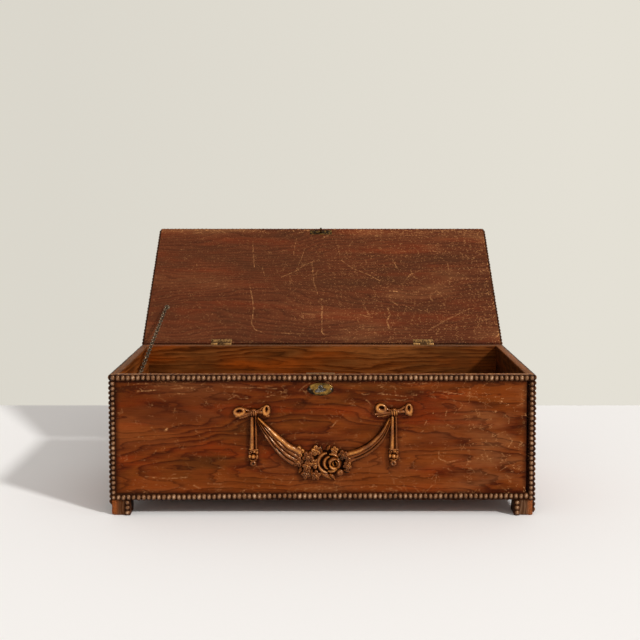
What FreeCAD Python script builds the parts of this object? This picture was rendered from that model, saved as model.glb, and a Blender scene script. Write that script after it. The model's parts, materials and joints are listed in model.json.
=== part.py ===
"""Writing box of thin stained boards: beaded edges, carved garland, lid lock with its key and a stay chain.

Millimetres, +Z up.  The origin is on the ground under the middle of the case, the front faces -Y, and the
lid stands open, held by its taut chain.  Pieces on the lid are drawn with the lid shut and turned open.
"""
import FreeCAD, Part
import math
import os
import re

import Sketcher
from FreeCAD import Placement, Rotation, Vector

SIZES = [
    # case
    ("body_width", 560.0),
    ("body_depth", 258.0),
    ("rim_height", 188.5),
    ("board_thickness", 9.5),
    ("bottom_thickness", 8.0),
    ("foot_height", 21.0),
    ("foot_width", 25.0),
    # lid
    ("lid_thickness", 9.5),
    ("lid_gap", 0.4),
    ("open_angle", 138.6),
    # beaded strips
    ("bead_pitch", 6.66),
    ("bead_width", 8.6),
    ("bead_projection", 4.2),
    ("corner_strip_width", 6.2),
    ("strip_web", 1.6),
    ("foot_strip_width", 7.4),
    ("foot_strip_lift", 0.5),
    ("left_break_height", 14.5),
    ("right_break_height", 4.0),
    # hinges
    ("hinge_spacing", 317.0),
    ("hinge_length", 32.0),
    ("leaf_reach", 10.0),
    ("leaf_thickness", 1.1),
    ("barrel_diameter", 4.0),
    ("barrel_gap", 0.3),
    ("knuckle_gap", 0.25),
    ("hinge_pin_diameter", 1.6),
    ("hinge_pin_gap", 0.08),
    ("mortise_gap", 0.1),
    # lock
    ("lock_offset", -2.5),
    ("key_drop", 16.6),
    ("lock_width", 38.0),
    ("case_height", 27.0),
    ("case_depth", 9.5),
    ("case_inset", 4.5),
    ("case_wall", 1.0),
    ("selvedge_thickness", 1.2),
    ("keyhole_radius", 2.6),
    ("keyhole_slot_width", 2.6),
    ("keyhole_slot_drop", 7.4),
    ("drill_pin_diameter", 1.6),
    ("escutcheon_width", 35.0),
    ("escutcheon_height", 17.0),
    ("escutcheon_thickness", 1.0),
    ("escutcheon_drop", 19.4),
    # bolt and staple
    ("bolt_throw", 5.5),
    ("bolt_plate", 1.7),
    ("bolt_plate_width", 20.0),
    ("bolt_plate_offset", 16.0),
    ("bolt_plate_rise", 4.5),
    ("bolt_top_gap", 1.0),
    ("bolt_head_inset", 3.0),
    ("bolt_tip_gap", 1.1),
    ("bolt_head_depth", 2.2),
    ("bolt_head_height", 2.8),
    ("talon_offset", 8.8),
    ("talon_width", 8.0),
    ("lock_gap", 0.4),
    ("staple_eye_gap", 0.3),
    ("staple_width", 3.0),
    ("staple_depth", 5.0),
    ("staple_length", 9.0),
    ("staple_rim", 3.2),
    ("link_plate_depth", 10.5),
    ("link_plate_inset", 3.0),
    # key
    ("key_reach", 28.0),
    ("key_tilt", 10.0),
    ("key_shank_diameter", 4.2),
    ("key_bore_diameter", 2.2),
    ("key_bore_depth", 16.0),
    ("key_collar_diameter", 6.4),
    ("key_collar_length", 2.2),
    ("key_bit_radius", 6.6),
    ("key_bit_thickness", 1.8),
    ("key_bit_length", 5.0),
    ("key_bow_width", 14.6),
    ("key_bow_length", 12.0),
    ("key_bow_bar", 2.6),
    # stay chain
    ("chain_lid_reach", 77.0),
    ("chain_lid_inset", 29.0),
    ("chain_case_reach", 128.0),
    ("chain_case_drop", 30.0),
    ("eye_stand", 5.0),
    ("eye_plate_diameter", 8.0),
    ("eye_plate_thickness", 1.0),
    ("eye_opening", 4.4),
    ("chain_lid_stand", 5.3),
    ("stud_diameter", 5.2),
    ("stud_tip_diameter", 3.2),
    ("stud_height", 3.2),
    ("link_wire", 1.3),
    ("link_opening", 3.6),
    ("link_slack", 0.35),
    # garland
    ("knot_spacing", 186.0),
    ("knot_height", 139.2),
    ("knot_radius", 5.0),
    ("garland_offset", 1.5),
    ("garland_drop", 67.5),
    ("garland_relief", 5.0),
    ("ribbon_relief", 2.6),
    ("loop_spread", 14.3),
    ("loop_rise", 2.7),
    ("loop_width", 25.0),
    ("loop_height", 14.4),
    ("loop_hole_width", 13.6),
    ("loop_hole_height", 6.6),
    ("loop_tilt", 13.8),
    ("loop_relief", 4.0),
    ("drop_gap", 2.5),
    ("drop_length", 72.0),
    ("ribbon_start_width", 5.0),
    ("ribbon_end_width", 8.6),
    ("tassel_length", 21.0),
    ("tassel_neck_width", 10.5),
    ("tassel_width", 14.0),
    ("tassel_step", 0.3),
    ("swag_gap", 1.0),
    ("swag_start_drop", 8.0),
    ("swag_end_spread", 33.0),
    ("swag_fall", 55.0),
    ("swag_start_width", 3.6),
    ("left_swag_width", 19.0),
    ("right_swag_width", 11.5),
    ("swag_relief", 4.0),
    ("spray_width", 78.0),
    ("spray_height", 30.0),
    ("ground_relief", 1.5),
    ("rose_offset", 11.4),
    ("rose_radius", 11.5),
    ("flower_radius", 5.4),
    ("flower_relief", 4.0),
    # tools
    ("cut_margin", 1.0),
]

LINKS_PER_RUN = (10, 10, 8, 8, 8)
KNUCKLES = 3
OVAL_CORNERS = 14
STUD_CORNERS = 12
KNOT_LOBES = 4
FLOWER_LOBES = 5
ROSE_LOBES = 6
POINTS_PER_LOBE = 4
SWAG_STEPS = 6
# Proportions that give the carving and the links their form
LINK_CORNER = 0.55  # cut corner of a link, of its half width
BOSS_TOP = 0.62  # top of a carved boss, of its foot
SCALLOP = 0.13  # depth of the scallops, of the radius
SHOULDER = (0.7, 0.75)  # where a carved band rounds over, of its half width and of its relief
SWAG_BEND = 0.88  # below 1 the swag falls steeply from the knot and then levels out
SWAG_SWELL = 0.6  # below 1 the swag swells early
ROSE_RINGS = ((1.0, 0.5), (0.56, 0.3), (0.3, 0.2))  # width and rise of each ring of petals
FLOWERS = ((-0.74, 0.30), (-0.49, 0.13), (-0.18, 0.38), (-0.57, -0.34), (-0.27, -0.5),
           (0.68, 0.2), (0.82, 0.0), (0.5, -0.4))  # places, of half the spray's width
DRAFT = 9.0  # side of a sketched rectangle before the sheet sets it
SIDES = (("left", -1), ("right", 1))

X, Y, Z = Vector(1, 0, 0), Vector(0, 1, 0), Vector(0, 0, 1)

doc = FreeCAD.newDocument("WritingBox")
sheet = doc.addObject("Spreadsheet::Sheet", "Sizes")
for row, (alias, number) in enumerate(SIZES, start=1):
    sheet.set(f"A{row}", alias.replace("_", " "))
    sheet.set(f"B{row}", str(number))
    sheet.setAlias(f"B{row}", alias)
doc.recompute()

# Planes and lines that several pieces share, as expressions for the bound pieces
LID_UNDER = "(rim_height + lid_gap)"
HINGE_BACK = "(body_depth / 2 + barrel_diameter / 2 + barrel_gap)"
HINGE_HEIGHT = "(rim_height + lid_gap / 2)"
KEY_HEIGHT = "(rim_height - key_drop)"
CASE_FRONT = "(-body_depth / 2 + case_inset)"
CASE_BACK = "(-body_depth / 2 + case_inset + case_depth)"
CASE_TOP = "(rim_height - selvedge_thickness)"
PLATE_BACK = "(-body_depth / 2 + case_inset + case_depth - case_wall - lock_gap)"
PLATE_FRONT = "(-body_depth / 2 + case_inset + case_depth - case_wall - lock_gap - bolt_plate)"
STAPLE_FRONT = "(-body_depth / 2 + case_inset + case_wall + lock_gap)"
STAPLE_MIDDLE = "(-body_depth / 2 + case_inset + case_wall + lock_gap + staple_depth / 2)"
HEAD_HEIGHT = "(rim_height + lid_gap - staple_length + staple_rim)"


def size(alias):
    """A driving dimension, read from the sheet."""
    return float(sheet.get(alias))


# The same as numbers, for the shapes that are built in code
HALF_WIDTH = size("body_width") / 2
HALF_DEPTH = size("body_depth") / 2
RIM = size("rim_height")
LID_FLOOR = RIM + size("lid_gap")
AXIS = Vector(0, HALF_DEPTH + size("barrel_diameter") / 2 + size("barrel_gap"), RIM + size("lid_gap") / 2)
LID_OPEN = Placement(Vector(), Rotation(X, -size("open_angle")), AXIS)
KEY_AXIS = Vector(size("lock_offset"), 0, RIM - size("key_drop"))

nodes = {}


# ---------------------------------------------------------------- helpers
def linked(text):
    """Point every size that an expression names at the sheet."""
    return re.sub(r"[a-z]+(_[a-z]+)+", lambda match: "Sizes." + match.group(0), str(text))


def bind(item, **expressions):
    """Tie properties of an object to the sheet; a double underscore stands for a dot."""
    for name, text in expressions.items():
        item.setExpression(name.replace("__", "."), linked(text))
    return item


def place(item, corner):
    """Tie the three places of an object to the sheet."""
    across, back, up = corner
    return bind(item, Placement__Base__x=across, Placement__Base__y=back, Placement__Base__z=up)


def block(label, corner, sides):
    """A box from its lowest corner and its three sides."""
    item = doc.addObject("Part::Box", label)
    bind(item, Length=sides[0], Width=sides[1], Height=sides[2])
    return place(item, corner)


def rod(label, start, direction, radius, length):
    """A cylinder from its start along an axis."""
    item = doc.addObject("Part::Cylinder", label)
    item.Placement.Rotation = Rotation(Z, direction)
    bind(item, Radius=radius, Height=length)
    return place(item, start)


def join(label, pieces):
    """One solid from several that overlap."""
    item = doc.addObject("Part::MultiFuse", label)
    item.Shapes = pieces
    return item


def carve(label, base, tools):
    """A piece with its recesses and holes cut."""
    item = doc.addObject("Part::Cut", label)
    item.Base = base
    item.Tool = tools[0] if len(tools) == 1 else join(label + "_tools", tools)
    return item


def coded(label, shape):
    """A piece whose shape is worked out in code."""
    item = doc.addObject("Part::Feature", label)
    item.Shape = shape
    return item


def faceted(rings):
    """A closed solid of flat facets through rings of as many points each, with flat ends."""
    faces = [Part.Face(Part.makePolygon(ring + ring[:1])) for ring in (rings[0], rings[-1])]
    for low, high in zip(rings, rings[1:]):
        for here, after in zip(range(len(low)), list(range(1, len(low))) + [0]):
            for corners in ((low[here], low[after], high[here]), (low[after], high[after], high[here])):
                faces.append(Part.Face(Part.makePolygon(list(corners) + [corners[0]])))
    solid = Part.Solid(Part.Shell(faces))
    if solid.Volume < 0:
        solid.reverse()
    return solid


def node(item, placement=None):
    """Keep an object as a sub-part, turned to where it rests."""
    if placement is not None:
        item.Placement = placement
    nodes[item.Label] = item
    return item


def new_body(label):
    """An empty PartDesign body and its origin planes by role."""
    body = doc.addObject("PartDesign::Body", label)
    return body, {item.Role: item for item in body.Origin.OriginFeatures}


def rectangle(body, planes, name, plane, level, corner, sides):
    """A rectangle sketched on an origin plane, moved along the plane's normal to its level."""
    sketch = body.newObject("Sketcher::SketchObject", name)
    sketch.AttachmentSupport = [(planes[plane], "")]
    sketch.MapMode = "FlatFace"
    bind(sketch, AttachmentOffset__Base__z=level)
    add_rectangle(sketch, corner, sides)
    return sketch


def add_rectangle(sketch, corner, sides):
    """Four constrained lines, with the lowest corner and the sides tied to the sheet."""
    first = sketch.GeometryCount
    tag = f"_{first}"
    corners = [Vector(0, 0), Vector(DRAFT, 0), Vector(DRAFT, DRAFT), Vector(0, DRAFT)]
    for index in range(4):
        sketch.addGeometry(Part.LineSegment(corners[index], corners[(index + 1) % 4]))
    for index in range(4):
        sketch.addConstraint(Sketcher.Constraint("Coincident", first + index, 2, first + (index + 1) % 4, 1))
        kind = "Horizontal" if index % 2 == 0 else "Vertical"
        sketch.addConstraint(Sketcher.Constraint(kind, first + index))
    drives = (
        ("left" + tag, Sketcher.Constraint("DistanceX", -1, 1, first, 1, 0), corner[0]),
        ("low" + tag, Sketcher.Constraint("DistanceY", -1, 1, first, 1, 0), corner[1]),
        ("wide" + tag, Sketcher.Constraint("DistanceX", first, 1, first, 2, DRAFT), sides[0]),
        ("tall" + tag, Sketcher.Constraint("DistanceY", first + 1, 1, first + 1, 2, DRAFT), sides[1]),
    )
    for name, constraint, text in drives:
        sketch.renameConstraint(sketch.addConstraint(constraint), name)
        sketch.setExpression("Constraints." + name, linked(text))


def pad(body, sketch, name, length, reverse=False):
    """Grow a sketch into the body."""
    feature = body.newObject("PartDesign::Pad", name)
    feature.Profile = sketch
    feature.Reversed = reverse
    return bind(feature, Length=length)


def recess(body, name, corner, sides):
    """Take a box out of a body, as a mortise is chopped."""
    feature = body.newObject("PartDesign::SubtractiveBox", name)
    bind(feature, Length=sides[0], Width=sides[1], Height=sides[2])
    return place(feature, corner)


def oval_points(half_width, half_height, corners=OVAL_CORNERS):
    """The corners of an oval of straight facets, about its own middle."""
    turns = [2 * math.pi * corner / corners for corner in range(corners)]
    return [(half_width * math.cos(turn), half_height * math.sin(turn)) for turn in turns]


# ---------------------------------------------------------------- case
def hinge_centre(side):
    """Where a hinge stands across the box, as an expression."""
    return f"({side} * hinge_spacing / 2)"


def front_board():
    """The one-board front, with the lock's mortise and the keyhole."""
    body, planes = new_body("front_board")
    face = rectangle(body, planes, "FrontOutline", "XZ_Plane", "body_depth / 2",
                     ("-body_width / 2", "foot_height"), ("body_width", "rim_height - foot_height"))
    pad(body, face, "FrontPad", "board_thickness", reverse=True)
    recess(body, "LockMortise",
           ("lock_offset - lock_width / 2 - mortise_gap", CASE_FRONT + " - mortise_gap",
            CASE_TOP + " - case_height - mortise_gap"),
           ("lock_width + 2 * mortise_gap", "board_thickness",
            "case_height + selvedge_thickness + 2 * mortise_gap"))
    hole = body.newObject("PartDesign::SubtractiveCylinder", "KeyholeRound")
    hole.Placement.Rotation = Rotation(Z, Y)
    bind(hole, Radius="keyhole_radius", Height="board_thickness + 2 * cut_margin")
    place(hole, ("lock_offset", "-body_depth / 2 - cut_margin", KEY_HEIGHT))
    recess(body, "KeyholeSlot", ("lock_offset - keyhole_slot_width / 2", "-body_depth / 2 - cut_margin",
                                 KEY_HEIGHT + " - keyhole_slot_drop"),
           ("keyhole_slot_width", "board_thickness + 2 * cut_margin", "keyhole_slot_drop"))
    node(body)


def back_board():
    """The back, with the hinge mortises in its top edge."""
    body, planes = new_body("back_board")
    face = rectangle(body, planes, "BackOutline", "XZ_Plane", "-body_depth / 2",
                     ("-body_width / 2", "foot_height"), ("body_width", "rim_height - foot_height"))
    pad(body, face, "BackPad", "board_thickness")
    for name, side in SIDES:
        recess(body, name.capitalize() + "HingeMortise",
               (hinge_centre(side) + " - hinge_length / 2 - mortise_gap",
                HINGE_BACK + " - leaf_reach - mortise_gap", "rim_height - leaf_thickness - mortise_gap"),
               ("hinge_length + 2 * mortise_gap", "leaf_reach + cut_margin", "leaf_thickness + cut_margin"))
    node(body)


def side_boards():
    """The two sides, butted between front and back."""
    for name, side in SIDES:
        body, planes = new_body(f"{name}_side")
        level = "-body_width / 2" if side < 0 else "body_width / 2 - board_thickness"
        face = rectangle(body, planes, name.capitalize() + "Outline", "YZ_Plane", level,
                         ("-body_depth / 2 + board_thickness", "foot_height"),
                         ("body_depth - 2 * board_thickness", "rim_height - foot_height"))
        pad(body, face, name.capitalize() + "Pad", "board_thickness")
        node(body)


def bottom_board():
    """The bottom, let in between the four walls."""
    body, planes = new_body("bottom_board")
    outline = rectangle(body, planes, "BottomOutline", "XY_Plane", "foot_height",
                        ("-body_width / 2 + board_thickness", "-body_depth / 2 + board_thickness"),
                        ("body_width - 2 * board_thickness", "body_depth - 2 * board_thickness"))
    pad(body, outline, "BottomPad", "bottom_thickness")
    node(body)


def feet():
    """Four square blocks under the corners."""
    for name, side in SIDES:
        across = "-body_width / 2" if side < 0 else "body_width / 2 - foot_width"
        for row, back in (("front", "-body_depth / 2"), ("back", "body_depth / 2 - foot_width")):
            sides = ("foot_width", "foot_width", "foot_height")
            node(block(f"foot_{row}_{name}", (across, back, "0"), sides))


# ---------------------------------------------------------------- beaded strips
def bead_strip(start, along, outward, length, width_vector):
    """A moulded strip: a row of ridged beads on a thin web, from its start corner along an edge."""
    count = max(1, round(length / size("bead_pitch")))
    pitch = length / count
    web = outward * size("strip_web")
    crown = outward * size("bead_projection")
    outline = [start, start + web]
    for index in range(count):
        outline.append(start + along * ((index + 0.5) * pitch) + crown)
        outline.append(start + along * ((index + 1) * pitch) + web)
    outline += [start + along * length, start]
    return Part.Face(Part.makePolygon(outline)).extrude(width_vector)


def add_strip(label, start, along, outward, length, width_vector, placement=None):
    """One strip as a sub-part."""
    return node(coded(label, bead_strip(start, along, outward, length, width_vector)), placement)


def case_strips():
    """Strips round the front and the two sides; the back is plain."""
    width, narrow, floor = size("bead_width"), size("corner_strip_width"), size("foot_height")
    upper = RIM - width
    up = Z * width
    corner = Vector(-HALF_WIDTH, -HALF_DEPTH, 0)
    add_strip("front_top_beads", corner + Z * upper, X, -Y, 2 * HALF_WIDTH, up)
    add_strip("front_bottom_beads", corner + X * narrow + Z * floor, X, -Y, 2 * (HALF_WIDTH - narrow), up)
    low_ends = {"left": size("left_break_height"), "right": size("right_break_height")}
    for name, side in SIDES:
        face = Vector(side * HALF_WIDTH, -HALF_DEPTH, 0)
        back = Y * (2 * HALF_DEPTH - width)
        low, lift = low_ends[name], size("foot_strip_lift")
        add_strip(f"front_{name}_corner_beads", face + Z * floor, Z, -Y, upper - floor, X * (-side * narrow))
        add_strip(f"{name}_top_beads", face + Z * upper, Y, X * side, 2 * HALF_DEPTH, up)
        add_strip(f"{name}_bottom_beads", face + Z * floor + Y * width, Y, X * side,
                  2 * (HALF_DEPTH - width), up)
        add_strip(f"{name}_front_corner_beads", face + Z * low, Z, X * side, upper - low, Y * width)
        add_strip(f"{name}_back_corner_beads", face + Z * lift + back, Z, X * side, upper - lift, Y * width)


def foot_strips():
    """Short strips down the inner edges of the feet, on the front and on the sides."""
    width, foot, lift = size("foot_strip_width"), size("foot_width"), size("foot_strip_lift")
    length = size("foot_height") - lift
    fronts, flanks = [], []
    for name, side in SIDES:
        edge = Vector(side * (HALF_WIDTH - foot), -HALF_DEPTH, lift)
        fronts.append(bead_strip(edge, Z, -Y, length, X * (side * width)))
        for row, inward in (("front", 1), ("back", -1)):
            edge = Vector(side * HALF_WIDTH, -inward * (HALF_DEPTH - foot), lift)
            flanks.append(bead_strip(edge, Z, X * side, length, Y * (-inward * width)))
    node(coded("front_foot_beads", Part.makeCompound(fronts)))
    node(coded("side_foot_beads", Part.makeCompound(flanks)))


def lid_strips():
    """Strips on the front and side edges of the lid."""
    width = size("bead_width")
    up = Z * width
    low = LID_FLOOR + (size("lid_thickness") - width) / 2
    add_strip("lid_front_beads", Vector(-HALF_WIDTH, -HALF_DEPTH, low), X, -Y, 2 * HALF_WIDTH, up, LID_OPEN)
    for name, side in SIDES:
        corner = Vector(side * HALF_WIDTH, -HALF_DEPTH, low)
        add_strip(f"lid_{name}_beads", corner, Y, X * side, 2 * HALF_DEPTH, up, LID_OPEN)


# ---------------------------------------------------------------- lid and hinges
def lid_board():
    """The lid board, with mortises below for the hinge leaves and the link plate."""
    body, planes = new_body("lid_board")
    outline = rectangle(body, planes, "LidOutline", "XY_Plane", LID_UNDER,
                        ("-body_width / 2", "-body_depth / 2"), ("body_width", "body_depth"))
    pad(body, outline, "LidPad", "lid_thickness")
    for name, side in SIDES:
        recess(body, name.capitalize() + "LeafMortise",
               (hinge_centre(side) + " - hinge_length / 2 - mortise_gap",
                HINGE_BACK + " - leaf_reach - mortise_gap", LID_UNDER + " - cut_margin"),
               ("hinge_length + 2 * mortise_gap", "leaf_reach + cut_margin",
                "cut_margin + leaf_thickness + mortise_gap"))
    recess(body, "LinkPlateMortise",
           ("lock_offset - lock_width / 2 - mortise_gap", "-body_depth / 2 + link_plate_inset - mortise_gap",
            LID_UNDER + " - cut_margin"),
           ("lock_width + 2 * mortise_gap", "link_plate_depth + 2 * mortise_gap",
            "cut_margin + selvedge_thickness + mortise_gap"))
    node(body, LID_OPEN)


def hinge_leaf(label, centre, first, leaf_low):
    """One leaf of a butt hinge: a plate, and every second knuckle of the barrel from the first given."""
    pitch = f"(hinge_length / {KNUCKLES})"
    left = f"({centre} - hinge_length / 2)"
    pieces = [block(label + "_plate", (left, HINGE_BACK + " - leaf_reach", leaf_low),
                    ("hinge_length", "leaf_reach - barrel_diameter / 2 - barrel_gap", "leaf_thickness"))]
    for index in range(first, KNUCKLES, 2):
        start = f"{left} + {index} * {pitch} + knuckle_gap / 2"
        length = f"{pitch} - knuckle_gap"
        pieces.append(rod(f"{label}_knuckle_{index}", (start, HINGE_BACK, HINGE_HEIGHT), X,
                          "barrel_diameter / 2", length))
        pieces.append(block(f"{label}_tongue_{index}", (start, "body_depth / 2 - cut_margin", leaf_low),
                            (length, "cut_margin + barrel_gap + barrel_diameter / 2", "leaf_thickness")))
    bore = rod(label + "_bore", (left + " - cut_margin", HINGE_BACK, HINGE_HEIGHT), X,
               "hinge_pin_diameter / 2 + hinge_pin_gap", "hinge_length + 2 * cut_margin")
    return carve(label, join(label + "_blank", pieces), [bore])


def hinges():
    """Two small butt hinges at the back of the rim, and their pins."""
    for name, side in SIDES:
        centre = hinge_centre(side)
        node(hinge_leaf(f"{name}_hinge_case_leaf", centre, 0, "rim_height - leaf_thickness"))
        node(hinge_leaf(f"{name}_hinge_lid_leaf", centre, 1, LID_UNDER), LID_OPEN)
        node(rod(f"{name}_hinge_pin", (centre + " - hinge_length / 2", HINGE_BACK, HINGE_HEIGHT), X,
                 "hinge_pin_diameter / 2", "hinge_length"))


# ---------------------------------------------------------------- lock
def keyhole_tools(label, front, depth):
    """A round hole with the slot for the bit below it, as cutting tools."""
    return [rod(label + "_round", ("lock_offset", front, KEY_HEIGHT), Y, "keyhole_radius", depth),
            block(label + "_slot", ("lock_offset - keyhole_slot_width / 2", front,
                                    KEY_HEIGHT + " - keyhole_slot_drop"),
                  ("keyhole_slot_width", depth, "keyhole_slot_drop"))]


def lock_case():
    """The lock's box, open on top under its selvedge, with the drill pin on its back plate."""
    left = "(lock_offset - lock_width / 2)"
    low = f"({CASE_TOP} - case_height)"
    shell = block("lock_shell", (left, CASE_FRONT, low), ("lock_width", "case_depth", "case_height"))
    hollow = block("lock_hollow", (left + " + case_wall", CASE_FRONT + " + case_wall", low + " + case_wall"),
                   ("lock_width - 2 * case_wall", "case_depth - 2 * case_wall", "case_height"))
    hole = keyhole_tools("lock_keyhole", CASE_FRONT + " - cut_margin", "case_wall + 2 * cut_margin")
    case = carve("lock_box", shell, [hollow] + hole)
    pin_start = ("lock_offset", CASE_FRONT, KEY_HEIGHT)
    pin = rod("drill_pin", pin_start, Y, "drill_pin_diameter / 2", "case_depth - case_wall / 2")
    node(join("lock_case", [case, pin]))


def selvedge():
    """The plate let into the rim, with the slot that the staple drops through."""
    plate = block("selvedge_blank", ("lock_offset - lock_width / 2", CASE_FRONT, CASE_TOP),
                  ("lock_width", "case_depth", "selvedge_thickness"))
    slot = block("selvedge_slot", ("lock_offset - staple_width / 2 - lock_gap", STAPLE_FRONT + " - lock_gap",
                                   CASE_TOP + " - cut_margin"),
                 ("staple_width + 2 * lock_gap", "staple_depth + 2 * lock_gap",
                  "selvedge_thickness + 2 * cut_margin"))
    node(carve("lock_selvedge", plate, [slot]))


def bolt():
    """The sliding bolt: a plate with the talon that the key works, and the head that enters the staple."""
    left = "(lock_offset - bolt_plate_offset)"
    top = f"({CASE_TOP} - bolt_top_gap)"
    low = f"({KEY_HEIGHT} + bolt_plate_rise)"
    plate = block("bolt_plate", (left, PLATE_FRONT, low),
                  ("bolt_plate_width", "bolt_plate", f"{top} - {low}"))
    head_front = f"({STAPLE_MIDDLE} - bolt_head_depth / 2)"
    head_low = HEAD_HEIGHT + " - bolt_head_height / 2"
    tip = "(lock_offset - staple_width / 2 - bolt_tip_gap)"
    head_left = f"({left} + bolt_head_inset)"
    head = block("bolt_head", (head_left, head_front, head_low),
                 (f"{tip} - {head_left}", "bolt_head_depth", "bolt_head_height"))
    bridge = block("bolt_bridge", (head_left, head_front, head_low),
                   ("bolt_head_height", f"{PLATE_BACK} - {head_front}", "bolt_head_height"))
    talon = block("bolt_talon",
                  ("lock_offset - talon_offset", PLATE_FRONT + " - cut_margin", low + " - cut_margin"),
                  ("talon_width", "bolt_plate + 2 * cut_margin",
                   f"{KEY_HEIGHT} + key_bit_radius + lock_gap - {low} + cut_margin"))
    node(carve("lock_bolt", join("bolt_blank", [plate, head, bridge]), [talon]))


def escutcheon():
    """The oval plate round the keyhole, its edge bevelled."""
    half_width, half_height = size("escutcheon_width") / 2, size("escutcheon_height") / 2
    thick = size("escutcheon_thickness")
    middle = Vector(size("lock_offset"), -HALF_DEPTH, RIM - size("escutcheon_drop"))
    rings = []
    for back, inset in ((0, 0), (thick, thick / 2)):
        oval = Part.Ellipse(Vector(), half_width - inset, half_height - inset).toShape()
        oval.Placement = Placement(middle - Y * back, Rotation(X, 90))
        rings.append(Part.Wire(oval))
    plate = coded("escutcheon_blank", Part.makeLoft(rings, True, True))
    hole = keyhole_tools("escutcheon_keyhole", "-body_depth / 2 - escutcheon_thickness - cut_margin",
                         "escutcheon_thickness + 2 * cut_margin")
    node(carve("escutcheon", plate, hole))



def key():
    """The pipe key: oval bow, collar, hollow shank over the drill pin, and a plain bit."""
    face = -HALF_DEPTH
    tip = -HALF_DEPTH + size("case_inset") + size("case_depth") - size("case_wall") - size("lock_gap")
    reach, bow_length, bow_width = size("key_reach"), size("key_bow_length"), size("key_bow_width")
    bar, shank = size("key_bow_bar"), size("key_shank_diameter") / 2
    bow_middle = face - reach + bow_length / 2
    start = face - reach + bow_length - bar / 2
    body = Part.makeCylinder(shank, tip - start, KEY_AXIS + Y * start, Y)
    collar_at = face - 2 * size("key_collar_length")
    collar = Part.makeCylinder(size("key_collar_diameter") / 2, size("key_collar_length"),
                               KEY_AXIS + Y * collar_at, Y)
    discs = []
    for inset in (0, bar):
        outline = oval_points(bow_width / 2 - inset, bow_length / 2 - inset)
        centre = KEY_AXIS + Vector(0, bow_middle, -bar / 2)
        rim = [centre + Vector(across, back, 0) for across, back in outline]
        discs.append(Part.Face(Part.makePolygon(rim + rim[:1])).extrude(Z * bar))
    bow = discs[0].cut(discs[1])
    bit_radius, bit_length = size("key_bit_radius"), size("key_bit_length")
    bit_thick = size("key_bit_thickness")
    bit = Part.makeBox(bit_radius, bit_length, bit_thick,
                       KEY_AXIS + Vector(-bit_radius, tip - bit_length, -bit_thick / 2))
    bore = Part.makeCylinder(size("key_bore_diameter") / 2, size("key_bore_depth"),
                             KEY_AXIS + Y * (tip - size("key_bore_depth")), Y)
    solid = body.fuse([collar, bow, bit]).cut(bore).removeSplitter()
    node(coded("key", solid), Placement(Vector(), Rotation(Y, -size("key_tilt")), KEY_AXIS))


def link_plate():
    """The plate under the lid's front edge, with the staple that the bolt enters."""
    plate = block("link_plate_blank", ("lock_offset - lock_width / 2", "-body_depth / 2 + link_plate_inset",
                                       LID_UNDER),
                  ("lock_width", "link_plate_depth", "selvedge_thickness"))
    staple = block("link_staple",
                   ("lock_offset - staple_width / 2", STAPLE_FRONT, LID_UNDER + " - staple_length"),
                   ("staple_width", "staple_depth", "staple_length + selvedge_thickness / 2"))
    eye_depth = "(bolt_head_depth + 2 * staple_eye_gap)"
    eye_height = "(bolt_head_height + 2 * staple_eye_gap)"
    eye = block("link_eye", ("lock_offset - staple_width", f"{STAPLE_MIDDLE} - {eye_depth} / 2",
                             f"{HEAD_HEIGHT} - {eye_height} / 2"),
                ("2 * staple_width", eye_depth, eye_height))
    node(carve("link_plate", join("link_plate_joined", [plate, staple]), [eye]), LID_OPEN)


# ---------------------------------------------------------------- stay chain
def oval_ring(middle, along, across, opening_length, opening_width, wire):
    """A flat link of square wire with cut corners, lying in the plane of its two directions."""
    rings = []
    for grow in (wire, 0):
        half_length, half_width = opening_length / 2 + grow, opening_width / 2 + grow
        corner = half_width * LINK_CORNER
        outline = []
        for turn in range(4):
            forward, sideways = ((1, 1), (-1, 1), (-1, -1), (1, -1))[turn]
            shoulder = middle + along * (forward * half_length) + across * (sideways * (half_width - corner))
            cheek = middle + along * (forward * (half_length - corner)) + across * (sideways * half_width)
            outline += [shoulder, cheek] if forward == sideways else [cheek, shoulder]
        outline.append(outline[0])
        normal = along.cross(across)
        face = Part.Face(Part.makePolygon([point - normal * (wire / 2) for point in outline]))
        rings.append(face.extrude(normal * wire))
    return rings[0].cut(rings[1])


def chain_line():
    """The pivot on the case's eye, where the chain ends over the lid's stud, and the way between them."""
    ring = (size("eye_opening") + size("link_wire")) / 2
    case_eye = Vector(-HALF_WIDTH + size("board_thickness") + size("eye_stand"),
                      AXIS.y - size("chain_case_reach"), RIM - size("chain_case_drop"))
    shut = Vector(-HALF_WIDTH + size("chain_lid_inset"), AXIS.y - size("chain_lid_reach"),
                  LID_FLOOR - size("chain_lid_stand"))
    pivot = case_eye + Z * ring
    return pivot, LID_OPEN.multVec(shut)


def chain():
    """Interlocked links in runs, from the eye on the side to the stud on the lid."""
    wire, slack = size("link_wire"), size("link_slack")
    pivot, end = chain_line()
    along = (end - pivot).normalize()
    pitch = (end - pivot).Length / sum(LINKS_PER_RUN)
    flat = (X - along * X.dot(along)).normalize()
    upright = along.cross(flat)
    first = pivot + along * ((pitch - wire - slack) / 2)
    number = 0
    for run, links in enumerate(LINKS_PER_RUN, start=1):
        rings = []
        for _ in range(links):
            across = upright if number % 2 == 0 else flat
            rings.append(oval_ring(first + along * (number * pitch), along, across,
                                   pitch + slack, size("link_opening"), wire))
            number += 1
        node(coded(f"chain_{run}", Part.makeCompound(rings)))


def eye_plate(foot, outward, across, up, shrink):
    """The small round plate that an eye or a stud stands on, its face smaller than its foot by a factor."""
    radius, thick = size("eye_plate_diameter") / 2, size("eye_plate_thickness")
    rings = []
    for rise, reach in ((0, radius), (thick, radius * shrink)):
        rings.append([foot + outward * rise + across * wide + up * tall
                      for wide, tall in oval_points(reach, reach, STUD_CORNERS)])
    return faceted(rings)


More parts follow.
